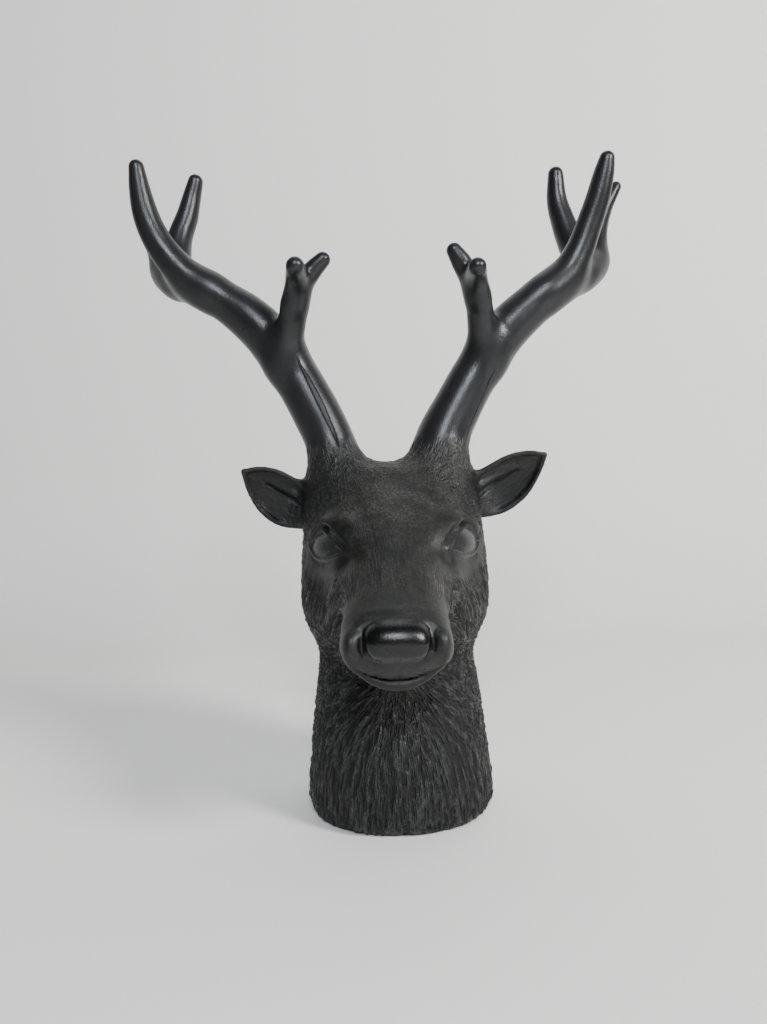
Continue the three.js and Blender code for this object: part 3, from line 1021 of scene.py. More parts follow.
@dataclass
class Head:
    """Neck, skull, muzzle, jaw, nose, mouth and eyes.

    Args:
        body_rows: Stations of neck and skull.
        muzzle_rows: Stations of the muzzle.
        jaw_rows: Stations of the jaw.
        lumps: What is laid on them or pressed into them.
        poll: Height of the top of the skull.
        pinch: How much narrower the bridge is at its top.
        ripple: How uneven the surface is.
        nose: The nose.
        mouth: The mouth.
        eye: The eye on the +X side.
    """

    body_rows: Rows = BODY_OUTLINE
    muzzle_rows: Rows = MUZZLE_OUTLINE
    jaw_rows: Rows = JAW_OUTLINE
    lumps: tuple[Lump, ...] = LUMPS
    poll: float = 158.6
    pinch: float = 0.13
    ripple: float = 0.16
    nose: Nose = field(default_factory=Nose)
    mouth: Mouth = field(default_factory=Mouth)
    eye: Eye = field(default_factory=Eye)

    def __post_init__(self) -> None:
        """Makes the curves through the stations."""
        self.body = Outline(self.body_rows)
        self.muzzle = Outline(self.muzzle_rows)
        self.jaw = Outline(self.jaw_rows)
        self.uneven = Unevenness(11.0, 3)

    def _skull(self, p: Array) -> Array:
        """How far points are from neck and skull.

        Args:
            p: Points.

        Returns:
            The distances.
        """
        x, y, z = p.T
        half, front, back = self.body(z)
        body = oval(x, half, y, front, back, 2.25)
        dome = np.maximum(z - (self.poll - 50), 0) / 50
        crown = np.sqrt((x / 62) ** 2 + ((y - 12) / 66) ** 2 + dome**2) - 1
        return cut(body, crown * 50, 9)

    def _snout(self, p: Array) -> Array:
        """How far points are from muzzle and jaw.

        Args:
            p: Points beside a straight muzzle.

        Returns:
            The distances.
        """
        x = p[:, 0]
        behind, above = on_muzzle(p)
        half, top, bottom, squareness = self.muzzle(behind)
        half = half * (1 - self.pinch * step(-14, 5, above) * step(14, 30, behind))
        muzzle = oval(x, half, above, bottom, top, squareness)
        front = -2.4 - behind + x * x / 90 + 0.16 * np.maximum(-above - 3, 0)
        muzzle = cut(muzzle, np.maximum(front, behind - 100), 7)
        half, top, bottom = self.jaw(behind)
        jaw = oval(x, half, above, bottom, top, 2.3)
        front = 0.6 - behind + x * x / 60 + 0.35 * np.maximum(-above - 17, 0)
        return union(muzzle, cut(jaw, np.maximum(front, behind - 84), 6), 5)

    def distance(self, spot: Spot) -> Array:
        """How far points are from the head and neck.

        Args:
            spot: The points.

        Returns:
            The distances.
        """
        if spot.centre[2] - spot.radius > 190:
            return spot.far()
        d = self._skull(spot.points)
        p = straight(spot.points)
        spot = spot.moved(p)
        wide = step(114, 98, p[:, 2]) * step(38, 26, np.abs(p[:, 0]))
        d = union(d, self._snout(p), 12 + 9 * wide)
        if np.linalg.norm(spot.centre - np.array([0, -80, 88])) <= spot.radius + 46:
            d = self.nose.added(d, p)
            d = self.mouth.carved(d, spot)
            d = self.nose.opened(d, spot)
        both = spot.folded()
        for lump in self.lumps:
            reach = (((both.points - np.array(lump.at)) / np.array(lump.size)) ** 2).sum(1)
            d = d - lump.height * np.exp(-reach)
        return self.eye.opened(d, both) + self.ripple * self.uneven(p)


@dataclass
class Casting:
    """The whole sculpture as one form.

    Args:
        head: The head and neck.
        antlers: The antlers, the -X one a little wider.
        ears: The ears, the -X one a little lower.
    """

    head: Head = field(default_factory=Head)
    antlers: tuple[Antler, ...] = field(
        default_factory=lambda: (Antler(ANTLER, Side.PLUS_X), Antler(WIDE_ANTLER, Side.MINUS_X))
    )
    ears: tuple[Ear, ...] = field(
        default_factory=lambda: (
            Ear((31.3, 15.5, 134.8), (73.1, 8, 159.4), Side.PLUS_X),
            Ear((33.0, 15.7, 131.7), (69.3, 8, 156.1), Side.MINUS_X),
        )
    )

    def parts(self, spot: Spot) -> tuple[Array, Array, Array]:
        """How far points are from each kind of part.

        Args:
            spot: The points.

        Returns:
            Distances to head, antlers and ears.
        """
        antler = np.minimum(*[a.distance(spot) for a in self.antlers])
        ear = np.minimum(*[e.distance(spot) for e in self.ears])
        return self.head.distance(spot), antler, ear

    def distance(self, spot: Spot) -> Array:
        """How far points are from the casting.

        Args:
            spot: The points.

        Returns:
            The distances.
        """
        head, antler, ear = self.parts(spot)
        d = union(union(head, ear, 3.5), antler, 8.0)
        return cut(d, -spot.points[:, 2], 0.6)


# Wrapping the form

def bundles(p: Array, size: float) -> Iterator[Array]:
    """Groups of points that lie close together.

    Args:
        p: Points.
        size: Size of the cubes that they are sorted into.

    Yields:
        The indices of each group.
    """
    cell = np.floor(p / size).astype(np.int64) + 512
    key = (cell[:, 0] << 20) | (cell[:, 1] << 10) | cell[:, 2]
    order = np.argsort(key, kind="stable")
    starts = np.flatnonzero(np.diff(key[order], prepend=-1))
    for a, b in zip(starts, np.append(starts[1:], len(order))):
        yield order[a:b]


@dataclass
class Wrap:
    """A closed mesh round the form, from its distances on a lattice of points.

    Args:
        form: The form.
        axes: The lattice's places along X, Y and Z.
        block: How many places along each axis are read at once.
    """

    form: Casting
    axes: Sequence[Array]
    block: int = 14

    def __post_init__(self) -> None:
        """Makes room for the distances."""
        self.values = np.full([len(a) for a in self.axes], FAR, np.float32)

    def sample(self) -> int:
        """Reads the form wherever its surface can be.

        Returns:
            How many blocks of the lattice were read.
        """
        n, read = self.block, 0
        for corner in np.ndindex(*[-(-len(a) // n) for a in self.axes]):
            cuts = [slice(c * n, (c + 1) * n) for c in corner]
            spans = [a[s] for a, s in zip(self.axes, cuts)]
            centre = np.array([(s[0] + s[-1]) / 2 for s in spans])
            radius = float(np.linalg.norm([(s[-1] - s[0]) / 2 for s in spans]))
            middle = float(self.form.distance(Spot(centre[None], centre, radius))[0])
            if abs(middle) > radius * 1.3 + 3:
                self.values[tuple(cuts)] = math.copysign(FAR, middle)
                continue
            grid = np.stack(np.meshgrid(*spans, indexing="ij"), -1)
            d = self.form.distance(Spot(grid.reshape(-1, 3), centre, radius))
            self.values[tuple(cuts)] = d.reshape(grid.shape[:3])
            read += 1
        return read

    def _points(self, active: Array) -> Array:
        """The middle of where the surface crosses each cell's edges.

        Args:
            active: Which cells it passes.

        Returns:
            One point for each of them.
        """
        cells = np.argwhere(active)
        offsets = list(np.ndindex(2, 2, 2))
        corner = {o: self.values[tuple((cells + np.array(o)).T)].astype(float) for o in offsets}
        total, hits = np.zeros((len(cells), 3)), np.zeros(len(cells))
        for a in offsets:
            for axis in range(3):
                if a[axis]:
                    continue
                b = tuple(1 if k == axis else a[k] for k in range(3))
                crossed = (corner[a] < 0) != (corner[b] < 0)
                share = corner[a][crossed] / (corner[a][crossed] - corner[b][crossed])
                point = np.tile(np.array(a, float), (len(share), 1))
                point[:, axis] += share
                total[crossed] += point
                hits[crossed] += 1
        local = total / hits[:, None]
        for k, axis in enumerate(self.axes):
            low = axis[cells[:, k]]
            local[:, k] = low + local[:, k] * (axis[cells[:, k] + 1] - low)
        return local

    def surface(self) -> tuple[Array, Array]:
        """Makes a point in each lattice cell the surface passes, and joins them in quads.

        Returns:
            The points, and the four corners of each quad.
        """
        shape = self.values.shape
        inside = self.values < 0
        count = np.zeros([s - 1 for s in shape], np.uint8)
        for o in np.ndindex(2, 2, 2):
            count += inside[tuple(slice(k, k + s) for k, s in zip(o, count.shape))]
        active = (count > 0) & (count < 8)
        index = np.full(count.shape, -1, np.int64)
        index[active] = np.arange(np.count_nonzero(active))
        quads = []
        for axis in range(3):
            u, w = [(1, 2), (2, 0), (0, 1)][axis]
            low, high = [slice(None)] * 3, [slice(None)] * 3
            low[axis], high[axis] = slice(0, -1), slice(1, None)
            crossed = np.argwhere(inside[tuple(low)] != inside[tuple(high)])
            ok = (crossed[:, u] > 0) & (crossed[:, w] > 0)
            ok &= (crossed[:, u] < shape[u] - 1) & (crossed[:, w] < shape[w] - 1)
            crossed = crossed[ok]
            ring = []
            for du, dw in ((-1, -1), (0, -1), (0, 0), (-1, 0)):
                at = crossed.copy()
                at[:, u] += du
                at[:, w] += dw
                ring.append(index[tuple(at.T)])
            ring = np.stack(ring, 1)
            outward = inside[tuple(crossed.T)]
            ring[~outward] = ring[~outward][:, ::-1]
            quads.append(ring)
        return self._points(active), np.concatenate(quads)

    def settle(self, points: Array, rounds: int = 2) -> Array:
        """Moves points onto the form's own surface.

        Args:
            points: Points near it.
            rounds: How often to correct them.

        Returns:
            The corrected points.
        """
        p = points.copy()
        taps = np.array([(1, -1, -1), (-1, -1, 1), (-1, 1, -1), (1, 1, 1)], float)
        reach = 0.2
        for _ in range(rounds):
            for group in bundles(p, 12):
                q = p[group]
                spread = (q[None] + taps[:, None] * reach).reshape(-1, 3)
                d = self.form.distance(Spot.of(q).moved(spread)).reshape(4, -1)
                slope = np.einsum("tn,tk->nk", d, taps) / (4 * reach)
                size2 = np.maximum((slope**2).sum(1), 0.35)
                move = -slope * (d.mean(0) / size2)[:, None]
                length = np.maximum(np.linalg.norm(move, axis=1), 1e-9)
                move *= np.minimum(1, 0.5 / length)[:, None]
                p[group] = q + move
        p[:, 2] = np.maximum(p[:, 2], 0)
        return p


def places(*stops: tuple[float, float]) -> Array:
    """Places along an axis.

    Args:
        stops: Where the spacing changes, and the spacing from there on.

    Returns:
        The places.
    """
    made = [np.array([stops[0][0]])]
    for (a, cell), (b, _) in zip(stops[:-1], stops[1:]):
        count = max(int(round((b - a) / cell)), 1)
        made.append(np.linspace(a, b, count + 1)[1:])
    return np.concatenate(made)


def lattice(fine: float, coarse: float) -> list[Array]:
    """The lattice's places along each axis, closer together on the head than on the antlers.

    Args:
        fine: Spacing on the head.
        coarse: Spacing on the antlers.

    Returns:
        Places along X, Y and Z.
    """
    reach, bend, head = 132, 80, 46
    across = ((-reach, coarse), (-bend, coarse), (-head, fine), (head, coarse), (bend, coarse))
    return [
        places(*across, (reach, coarse)),
        places((-98, fine), (20, fine * 1.2), (62, fine)),
        places((-1.25 * fine, fine), (172, coarse), (314, coarse)),
    ]


# The coat

@dataclass
class Coat:
    """Where the coat is carved, and how its hair lies.

    Args:
        form: The form it is on.
        edge: The height where it starts to end on the antlers.
        end: The height that none of it passes.
        ragged: How ragged its edge there is.
    """

    form: Casting
    edge: float = 164.0
    end: float = 172.0
    ragged: float = 3.4

    def read(self, p: Array) -> dict[str, Array]:
        """Reads the coat and the other finishes at points of the surface.

        Args:
            p: Points.

        Returns:
            One array for each named value.
        """
        head, antler = np.empty(len(p)), np.empty(len(p))
        for group in bundles(p, 12):
            head[group], antler[group], _ = self.form.parts(Spot.of(p[group]))
        x, y, z = p.T
        ax = np.abs(x)
        behind, above = on_muzzle(p)
        tufts = self.ragged * Unevenness(3.2, 11)(p * np.array([1, 1, 0.4]))
        bare = step(self.edge, self.edge + 7, z + tufts) * step(0.5, 2.5, head - 0.5)
        bare = np.maximum(bare, step(self.end, self.end + 3, z))
        on_ear = step(0.6, 2.2, np.minimum(head, antler))
        on_ear = np.where(z > self.end, 0, on_ear * (ax > 28))
        pad = step(0.5, 0.1, self.form.head.nose.pad(straight(p)))
        ball, lids = self._eyes(np.column_stack([ax, y, z]))

        face = step(-8, -26, y) * step(66, 78, z)
        bridge = face * step(26, 14, ax) * step(-14, -4, above)
        forehead = step(0, -22, y) * step(40, 22, ax) * step(128, 138, z) * step(160, 146, z)
        lips = step(34, 18, behind) * step(66, 72, z) * step(-52, -62, y)
        fur = (1 - 0.8 * bridge) * (1 - 0.25 * forehead) * (1 - 0.9 * lips)
        fur = fur * (1 - 0.93 * lids) * (1 - bare) * (1 - pad) * (1 - ball) * (1 - 0.6 * on_ear)
        fur = fur * (1 - 0.35 * step(112, 128, z) - 0.25 * step(136, 152, z))
        fur = fur * step(0.1, 1.6, z)
        # Dust, with painted light on the +X side beside the muzzle.
        dust_and_lit_side = self._dust_and_lit_side(p, bridge, forehead) * (1 - 0.3 * lips)
        across, gaps, there = self._seams(p)
        return {
            "fur": fur,
            "bare": bare,
            "pad": pad,
            "ball": ball,
            "lids": lids,
            "dust_and_lit_side": dust_and_lit_side * (1 - bare) * (1 - pad) * (1 - ball),
            "seam": across,
            "gap": gaps,
            "lined": there,
            "lay": self._lay(p, on_ear),
        }

    def _eyes(self, p: Array) -> tuple[Array, Array]:
        """Where the eyeballs are, and the bare skin round them.

        Args:
            p: Points on the +X side.

        Returns:
            How much of each there is.
        """
        eye = self.form.head.eye
        along, _, out = eye.place(p)
        ball = step(0.4, 0.15, np.abs(eye.ball(p))) * (out > -3) * (np.abs(along) < eye.half)
        duct = np.asarray(eye.inner) - np.array([2, 3, 4])
        lids = step(21, 12, np.linalg.norm(p - eye.middle, axis=1))
        return ball, np.maximum(lids, step(13, 6, np.linalg.norm(p - duct, axis=1)))

    @staticmethod
    def _dust_and_lit_side(p: Array, bridge: Array, forehead: Array) -> Array:
        """How much dust lies on the casting, with painted light added to its patch beside the
        muzzle on the +X side, where the key lamp falls.

        Args:
            p: Points.
            bridge: Which of them are on the bridge of the nose.
            forehead: Which are on the forehead.

        Returns:
            Its share, from 0 to 1.
        """
        x, y, z = p.T
        face = step(10, -14, y) * step(78, 96, z)
        crown = step(146, 158, z) * step(176, 166, z)
        beside = bell(np.abs(x), 16.5, 5.5) * bell(z, 104, 14)
        # The patch is 30 % heavier on the +X side: painted light where the key lamp falls, on top
        # of the dust.
        beside = beside * step(-30, -50, y) * (1 + 0.3 * np.sign(x))
        dust_and_lit_side = 0.1 + 0.12 * bridge + 0.38 * forehead + 0.25 * face + 0.35 * crown + 0.25 * beside
        return np.clip(dust_and_lit_side, 0, 1)

    @staticmethod
    def _seams(p: Array) -> tuple[Array, Array, Array]:
        """Where points are beside the fine lines that the mould left on the antlers.

        Args:
            p: Points.

        Returns:
            Place across each line's middle, half the gap of a pair, and how much of it there is.
        """
        across, gaps, there = np.full(len(p), 9.0), np.zeros(len(p)), np.zeros(len(p))
        for side, line, gap in SEAMS:
            on = p[:, 0] * side.value > 0
            rows = np.asarray(line, float)
            x, y = Outline(rows)(p[on, 2])
            share = (p[on, 2] - rows[0, 0]) / (rows[-1, 0] - rows[0, 0])
            across[on] = np.clip(np.abs(p[on, 0]) - x, -9, 9)
            gaps[on] = gap * np.clip(1 - (2 * share - 1) ** 2, 0, 1)
            ends = step(-0.04, 0.04, share) * step(1.04, 0.94, share)
            there[on] = ends * step(9, 6, p[on, 1] - y)
        return across, gaps, there

    def _lay(self, p: Array, on_ear: Array) -> Array:
        """The way the hair lies.

        Args:
            p: Points.
            on_ear: Which of them are on an ear.

        Returns:
            A direction at each.
        """
        x, y, z = p.T
        down = 72 - z
        fan = np.where(y < 10, x, 0.3 * x) * (0.3 + 0.7 * step(14, 52, z))
        neck = np.column_stack([fan, np.zeros(len(p)), -np.maximum(down, 10)])
        neck /= np.linalg.norm(neck, axis=1)[:, None]
        cheek = np.tile(unit((0, 0.5, -0.86)), (len(p), 1))
        cheek[:, 0] = 0.25 * np.sign(x)
        face = np.tile(unit((0, math.cos(FACE_SLOPE), math.sin(FACE_SLOPE))), (len(p), 1))
        crown = np.column_stack([x / 60, np.full(len(p), 0.2), np.ones(len(p))])
        ears = np.zeros((len(p), 3))
        for ear in self.form.ears:
            ears += np.where((x * ear.side.value > 0)[:, None], ear.lengthwise, 0) * np.array(
                [ear.side.value, 1, 1]
            )
        weights = [
            (neck, step(92, 70, z) + step(10, 40, y) * step(150, 120, z)),
            (cheek, step(72, 90, z) * step(128, 108, z) * step(14, 30, np.abs(x))),
            (face, step(76, 90, z) * step(-4, -26, y) * step(30, 16, np.abs(x)) + 0.02),
            (crown, step(118, 140, z) * 1.2),
            (ears, on_ear * 6),
        ]
        lay = sum(way * weight[:, None] for way, weight in weights)
        return lay / np.maximum(np.linalg.norm(lay, axis=1), 1e-6)[:, None]


# Geometry Nodes

@dataclass
class Nodes:
    """A node tree, written in short.

    Args:
        tree: The tree.
    """

    tree: bpy.types.NodeTree

    def add(
        self, kind: str, inputs: dict[str | int, object] | None = None, **settings: object
    ) -> bpy.types.Node:
        """Adds a node.

        Args:
            kind: Its type.
            inputs: For its sockets, by name or number, another socket or a value.
            settings: Its other properties.

        Returns:
            The node.
        """
        node = self.tree.nodes.new(kind)
        for key, value in settings.items():
            setattr(node, key, value)
        for key, value in (inputs or {}).items():
            if isinstance(value, bpy.types.NodeSocket):
                self.tree.links.new(value, node.inputs[key])
            else:
                node.inputs[key].default_value = value
        return node

    def math(self, operation: str, *values: object) -> bpy.types.NodeSocket:
        """A sum, product or the like of sockets and numbers."""
        return self.add("ShaderNodeMath", dict(enumerate(values)), operation=operation).outputs[0]

    def times(self, a: object, b: object) -> bpy.types.NodeSocket:
        """The product of two sockets or numbers."""
        return self.math("MULTIPLY", a, b)

    def drawn_out(
        self,
        place: bpy.types.NodeSocket,
        way: bpy.types.NodeSocket,
        width: float,
        length: float,
        taps: int,
        seed: bpy.types.NodeSocket | None = None,
    ) -> bpy.types.NodeSocket:
        """Noise drawn out along the lay of the hair.

        Args:
            place: Where it is read.
            way: The way the hair lies.
            width: Width of its strokes.
            length: Their length.
            taps: How many readings are added up on each side of the middle one.
            seed: Fourth coordinate of the noise.

        Returns:
            The sum of the readings, about half as much as there are of them.
        """
        fourth = {} if seed is None else {"noise_dimensions": "4D"}
        total = None
        for k in range(-taps, taps + 1):
            reach = k * length / (2 * taps)
            move = {0: way, 1: (reach, reach, reach), 2: place}
            at = self.add("ShaderNodeVectorMath", move, operation="MULTIPLY_ADD")
            inputs = {"Vector": at.outputs[0], "Scale": 1 / width, "Detail": 0.0}
            if seed is not None:
                inputs["W"] = seed
            value = self.add("ShaderNodeTexNoise", inputs, **fourth).outputs[0]
            total = value if total is None else self.math("ADD", total, value)
        return total


@dataclass(frozen=True)
class StrokeCarver:
    """A node tree that carves the coat with strokes along the lay of the hair.

    Args:
        lock_depth: How deep the broad locks are, in millimetres.
        stroke_depth: How deep the fine strokes are.
        thickness: How far the middle of the relief stands off the form.
        seed: Which noise.
        contrast: How steep the strokes' sides are.
        taps: How finely a stroke is drawn out.
    """

    lock_depth: float = 0.5
    stroke_depth: float = 0.62
    thickness: float = 0.25
    seed: float = 17.0
    contrast: float = 10.0
    taps: int = 5

    @staticmethod
    def _attribute(nodes: Nodes, name: str, kind: str) -> bpy.types.NodeSocket:
        """One of the piece's own attributes."""
        made = nodes.add("GeometryNodeInputNamedAttribute", data_type=kind)
        made.inputs["Name"].default_value = name
        return made.outputs["Attribute"]

    def _strokes(self, nodes: Nodes, lay: Lay, seed: bpy.types.NodeSocket) -> bpy.types.NodeSocket:
        """Strokes of one width.

        Args:
            nodes: The tree.
            lay: Width and length of the strokes.
            seed: Fourth coordinate of the noise.

        Returns:
            A value from -1 to 1 on each point.
        """
        place = self._attribute(nodes, "clay", "FLOAT_VECTOR")
        way = self._attribute(nodes, "lay", "FLOAT_VECTOR")
        total = nodes.drawn_out(place, way, *lay.value, self.taps, seed)
        mean = nodes.math("DIVIDE", total, 2.0 * self.taps + 1)
        steep = nodes.times(nodes.math("SUBTRACT", mean, 0.5), self.contrast)
        return nodes.math("MAXIMUM", nodes.math("MINIMUM", steep, 1.0), -1.0)

    def build(self) -> bpy.types.NodeTree:
        """Makes the tree.

        Returns:
            It.
        """
        tree = bpy.data.node_groups.new("carved_coat", "GeometryNodeTree")
        face = tree.interface
        face.new_socket("Geometry", in_out="INPUT", socket_type="NodeSocketGeometry")
        sizes = {
            "Lock Depth": self.lock_depth,
            "Stroke Depth": self.stroke_depth,
            "Thickness": self.thickness,
            "Seed": self.seed,
        }
        for name, size in sizes.items():
            made = face.new_socket(name, in_out="INPUT", socket_type="NodeSocketFloat")
            made.default_value = size
        face.new_socket("Finish", in_out="INPUT", socket_type="NodeSocketMaterial")
        face.new_socket("Geometry", in_out="OUTPUT", socket_type="NodeSocketGeometry")

        nodes = Nodes(tree)
        start = nodes.add("NodeGroupInput").outputs
        locks = self._strokes(nodes, Lay.LOCKS, start["Seed"])
        strokes = self._strokes(nodes, Lay.STROKES, start["Seed"])
        locks = nodes.times(locks, start["Lock Depth"])
        relief = nodes.math("ADD", locks, nodes.times(strokes, start["Stroke Depth"]))
        fur = self._attribute(nodes, "fur", "FLOAT")
        height = nodes.times(nodes.math("ADD", relief, start["Thickness"]), fur)
        normal = nodes.add("GeometryNodeInputNormal").outputs[0]
        lift = {0: normal, "Scale": nodes.times(height, MM)}
        offset = nodes.add("ShaderNodeVectorMath", lift, operation="SCALE").outputs[0]
        move = {"Geometry": start["Geometry"], "Offset": offset}
        moved = nodes.add("GeometryNodeSetPosition", move).outputs[0]
        store = nodes.add("GeometryNodeStoreNamedAttribute", data_type="FLOAT", domain="POINT")
        store.inputs["Name"].default_value = "relief"
        tree.links.new(moved, store.inputs["Geometry"])
        tree.links.new(relief, store.inputs["Value"])
        real = nodes.add("GeometryNodeRealizeInstances", {0: store.outputs[0]}).outputs[0]
        finish = {"Geometry": real, "Material": start["Finish"]}
        dressed = nodes.add("GeometryNodeSetMaterial", finish).outputs[0]
        nodes.add("NodeGroupOutput", {0: dressed})
        return tree

    def carve(self, piece: bpy.types.Object, finish: bpy.types.Material) -> None:
        """Carves a piece and leaves it a plain mesh.

        Args:
            piece: The piece, with its clay, lay and fur attributes.
            finish: Its material.
        """
        tree = self.build()
        modifier = piece.modifiers.new("coat", "NODES")
        modifier.node_group = tree
        for item in tree.interface.items_tree:
            if item.name == "Finish" and item.in_out == "INPUT":
                modifier[item.identifier] = finish
        keep_result(piece)


def keep_result(piece: bpy.types.Object) -> None:
    """Turns a piece with modifiers into a plain mesh.

    Args:
        piece: The piece.
    """
    depsgraph = bpy.context.evaluated_depsgraph_get()
    mesh = bpy.data.meshes.new_from_object(
        piece.evaluated_get(depsgraph), preserve_all_data_layers=True, depsgraph=depsgraph
    )
    mesh.name = piece.name
    piece.modifiers.clear()
    old, piece.data = piece.data, mesh
    bpy.data.meshes.remove(old)


# Materials

@dataclass(frozen=True)
class CastResin:
    """Black cast resin: matte and dusty on the coat, satin on the antlers, glossy on nose and eyes.

    Args:
        name: The material's name.
        black: Colour of the resin.
        wear_and_highlight: Colour of its raised strokes, partly wear and partly painted highlight;
            the black left in the troughs is painted shade.
        dust_and_lit_side: Colour of the dust on it, also laid as painted light on the +X side
            beside the muzzle.
        antler: Colour of the antlers.
        eyeball: Colour of the eyes.
        coat_gloss: Roughness of the coat.
        skin_gloss: Roughness where there is little hair.
        lid_gloss: Roughness of the eyelids.
        sunk_gloss: Roughness between the strokes.
        antler_gloss: Roughness of the antlers.
        nose_gloss: Roughness of nose and eyes.
        antler_metal: How metallic the antlers look.
        specular: Strength of its reflections.
        strand_width: Width of the finest hairs, in metres.
        strand_length: Their length.
        strand_depth: How deep they are cut.
        strand_taps: How finely they are drawn out.
        grain_depth: Depth of the casting's grain.
        seam_depth: Depth of the fine lines on the antlers.
    """

    name: str
    black: Point = (0.0022, 0.0022, 0.0025)
    wear_and_highlight: Point = (0.026, 0.0260, 0.0275)
    dust_and_lit_side: Point = (0.046, 0.0460, 0.0370)
    antler: Point = (0.028, 0.0286, 0.0306)
    eyeball: Point = (0.020, 0.0205, 0.0210)
    coat_gloss: float = 0.37
    skin_gloss: float = 0.5
    lid_gloss: float = 0.4
    sunk_gloss: float = 0.7
    antler_gloss: float = 0.31
    nose_gloss: float = 0.26
    antler_metal: float = 0.55
    specular: float = 0.42
    strand_width: float = 0.00072
    strand_length: float = 0.0038
    strand_depth: float = 0.0009
    strand_taps: int = 4
    grain_depth: float = 0.00020
    seam_depth: float = 0.0004

    def build(self) -> bpy.types.Material:
        """Makes the material.

        Returns:
            It.
        """
        material = bpy.data.materials.new(self.name)
        material.use_nodes = True
        material.node_tree.nodes.clear()
        draw = ShaderNodes(material.node_tree)
        way = draw.add("ShaderNodeAttribute", attribute_type="GEOMETRY", attribute_name="lay")
        strands = draw.drawn_out(
            draw.place,
            way.outputs["Vector"],
            self.strand_width,
            self.strand_length,
            self.strand_taps,
        )
        middle = self.strand_taps + 0.5
        strands = draw.graph(strands, middle - 1.0, middle + 1.0, 0, 1)
        combed = draw.math("MULTIPLY_ADD", strands, 0.7, draw.attribute("relief"))
        mottle = draw.graph(draw.noise(45, 5, 0.65), 0.3, 0.7, 0.7, 1)
        graphite = draw.times(draw.attribute("bare"), mottle)
        seam = self._seam(draw)
        shader = draw.add(
            "ShaderNodeBsdfPrincipled",
            {
                "Specular IOR Level": self.specular,
                "Base Color": self._colour(draw, combed, graphite, seam),
                "Roughness": self._gloss(draw, combed),
                "Metallic": draw.graph(graphite, 0, 1, 0, self.antler_metal),
                "Normal": self._bumps(draw, strands, seam),
            },
        )
        draw.add("ShaderNodeOutputMaterial", {"Surface": shader.outputs[0]})
        return material

    def _seam(self, draw: "ShaderNodes") -> bpy.types.NodeSocket:
        """The fine lines on the antlers.

        Args:
            draw: The material's nodes.

        Returns:
            1 on a line.
        """
        apart = draw.math("ABSOLUTE", draw.attribute("seam"))
        off = draw.math("ABSOLUTE", draw.math("SUBTRACT", apart, draw.attribute("gap")))
        there = draw.times(draw.attribute("lined"), draw.attribute("bare"))
        return draw.times(draw.graph(off, 0.12, 0.42, 1, 0), there)

    def _colour(
        self,
        draw: "ShaderNodes",
        combed: bpy.types.NodeSocket,
        graphite: bpy.types.NodeSocket,
        seam: bpy.types.NodeSocket,
    ) -> bpy.types.NodeSocket:
        """The colour: raised strokes lighter, partly wear and partly painted highlight over painted
        shade in the troughs; dust, with painted light on its +X patch beside the muzzle; antlers,
        eyes and the fine lines.

        Args:
            draw: The material's nodes.
            combed: Height of the coat's relief.
            graphite: How much of the antlers' finish there is.
            seam: Where the fine lines are.

        Returns:
            It.
        """
        # Raised strokes get a lighter colour, partly wear and partly painted highlight; the black
        # kept in the troughs between them is painted shade.
        raised = draw.times(draw.graph(combed, 0.25, 1.1, 0, 1), draw.attribute("fur"))
        speckle = draw.graph(draw.noise(900, 4, 0.7), 0.44, 0.6, 0.15, 1)
        cloud = draw.graph(draw.noise(105, 4, 0.65), 0.4, 0.6, 0.15, 1)
        # The dust mask also carries painted light on the +X side beside the muzzle.
        dusty_and_lit = draw.times(draw.attribute("dust_and_lit_side"), draw.times(cloud, speckle))
        colour = draw.mix(raised, self.black, self.wear_and_highlight)
        colour = draw.mix(dusty_and_lit, colour, self.dust_and_lit_side)
        colour = draw.mix(graphite, colour, self.antler)
        colour = draw.mix(draw.attribute("ball"), colour, self.eyeball)
        return draw.mix(seam, colour, self.black)

    def _gloss(self, draw: "ShaderNodes", combed: bpy.types.NodeSocket) -> bpy.types.NodeSocket:
        """The roughness of each finish, with smears.

        Args:
            draw: The material's nodes.
            combed: Height of the coat's relief.

        Returns:
            It.
        """
        fur = draw.attribute("fur")
        sunk = draw.times(draw.graph(combed, 0.1, 0.8, 1, 0), fur)
        gloss = draw.blend(sunk, draw.blend(fur, self.skin_gloss, self.coat_gloss), self.sunk_gloss)
        gloss = draw.blend(draw.attribute("lids"), gloss, self.lid_gloss)
        gloss = draw.blend(draw.attribute("bare"), gloss, self.antler_gloss)
        shine = draw.math("MAXIMUM", draw.attribute("pad"), draw.attribute("ball"))
        gloss = draw.blend(shine, gloss, self.nose_gloss)
        return draw.times(gloss, draw.graph(draw.noise(140, 4, 0.6), 0.3, 0.7, 0.88, 1.14))

    def _bumps(
        self, draw: "ShaderNodes", strands: bpy.types.NodeSocket, seam: bpy.types.NodeSocket
    ) -> bpy.types.NodeSocket:
        """The finest relief: grain, the lines on the antlers, and hair.

        Args:
            draw: The material's nodes.
            strands: The finest hairs.
            seam: Where the fine lines are.

        Returns:
            The normal.
        """
        hairs = draw.times(strands, draw.attribute("fur"))
        normal = draw.bump(draw.noise(1200, 3, 0.6), self.grain_depth, 0.5)
        normal = draw.bump(seam, -self.seam_depth, 0.9, normal)
        return draw.bump(hairs, self.strand_depth, 0.9, normal)


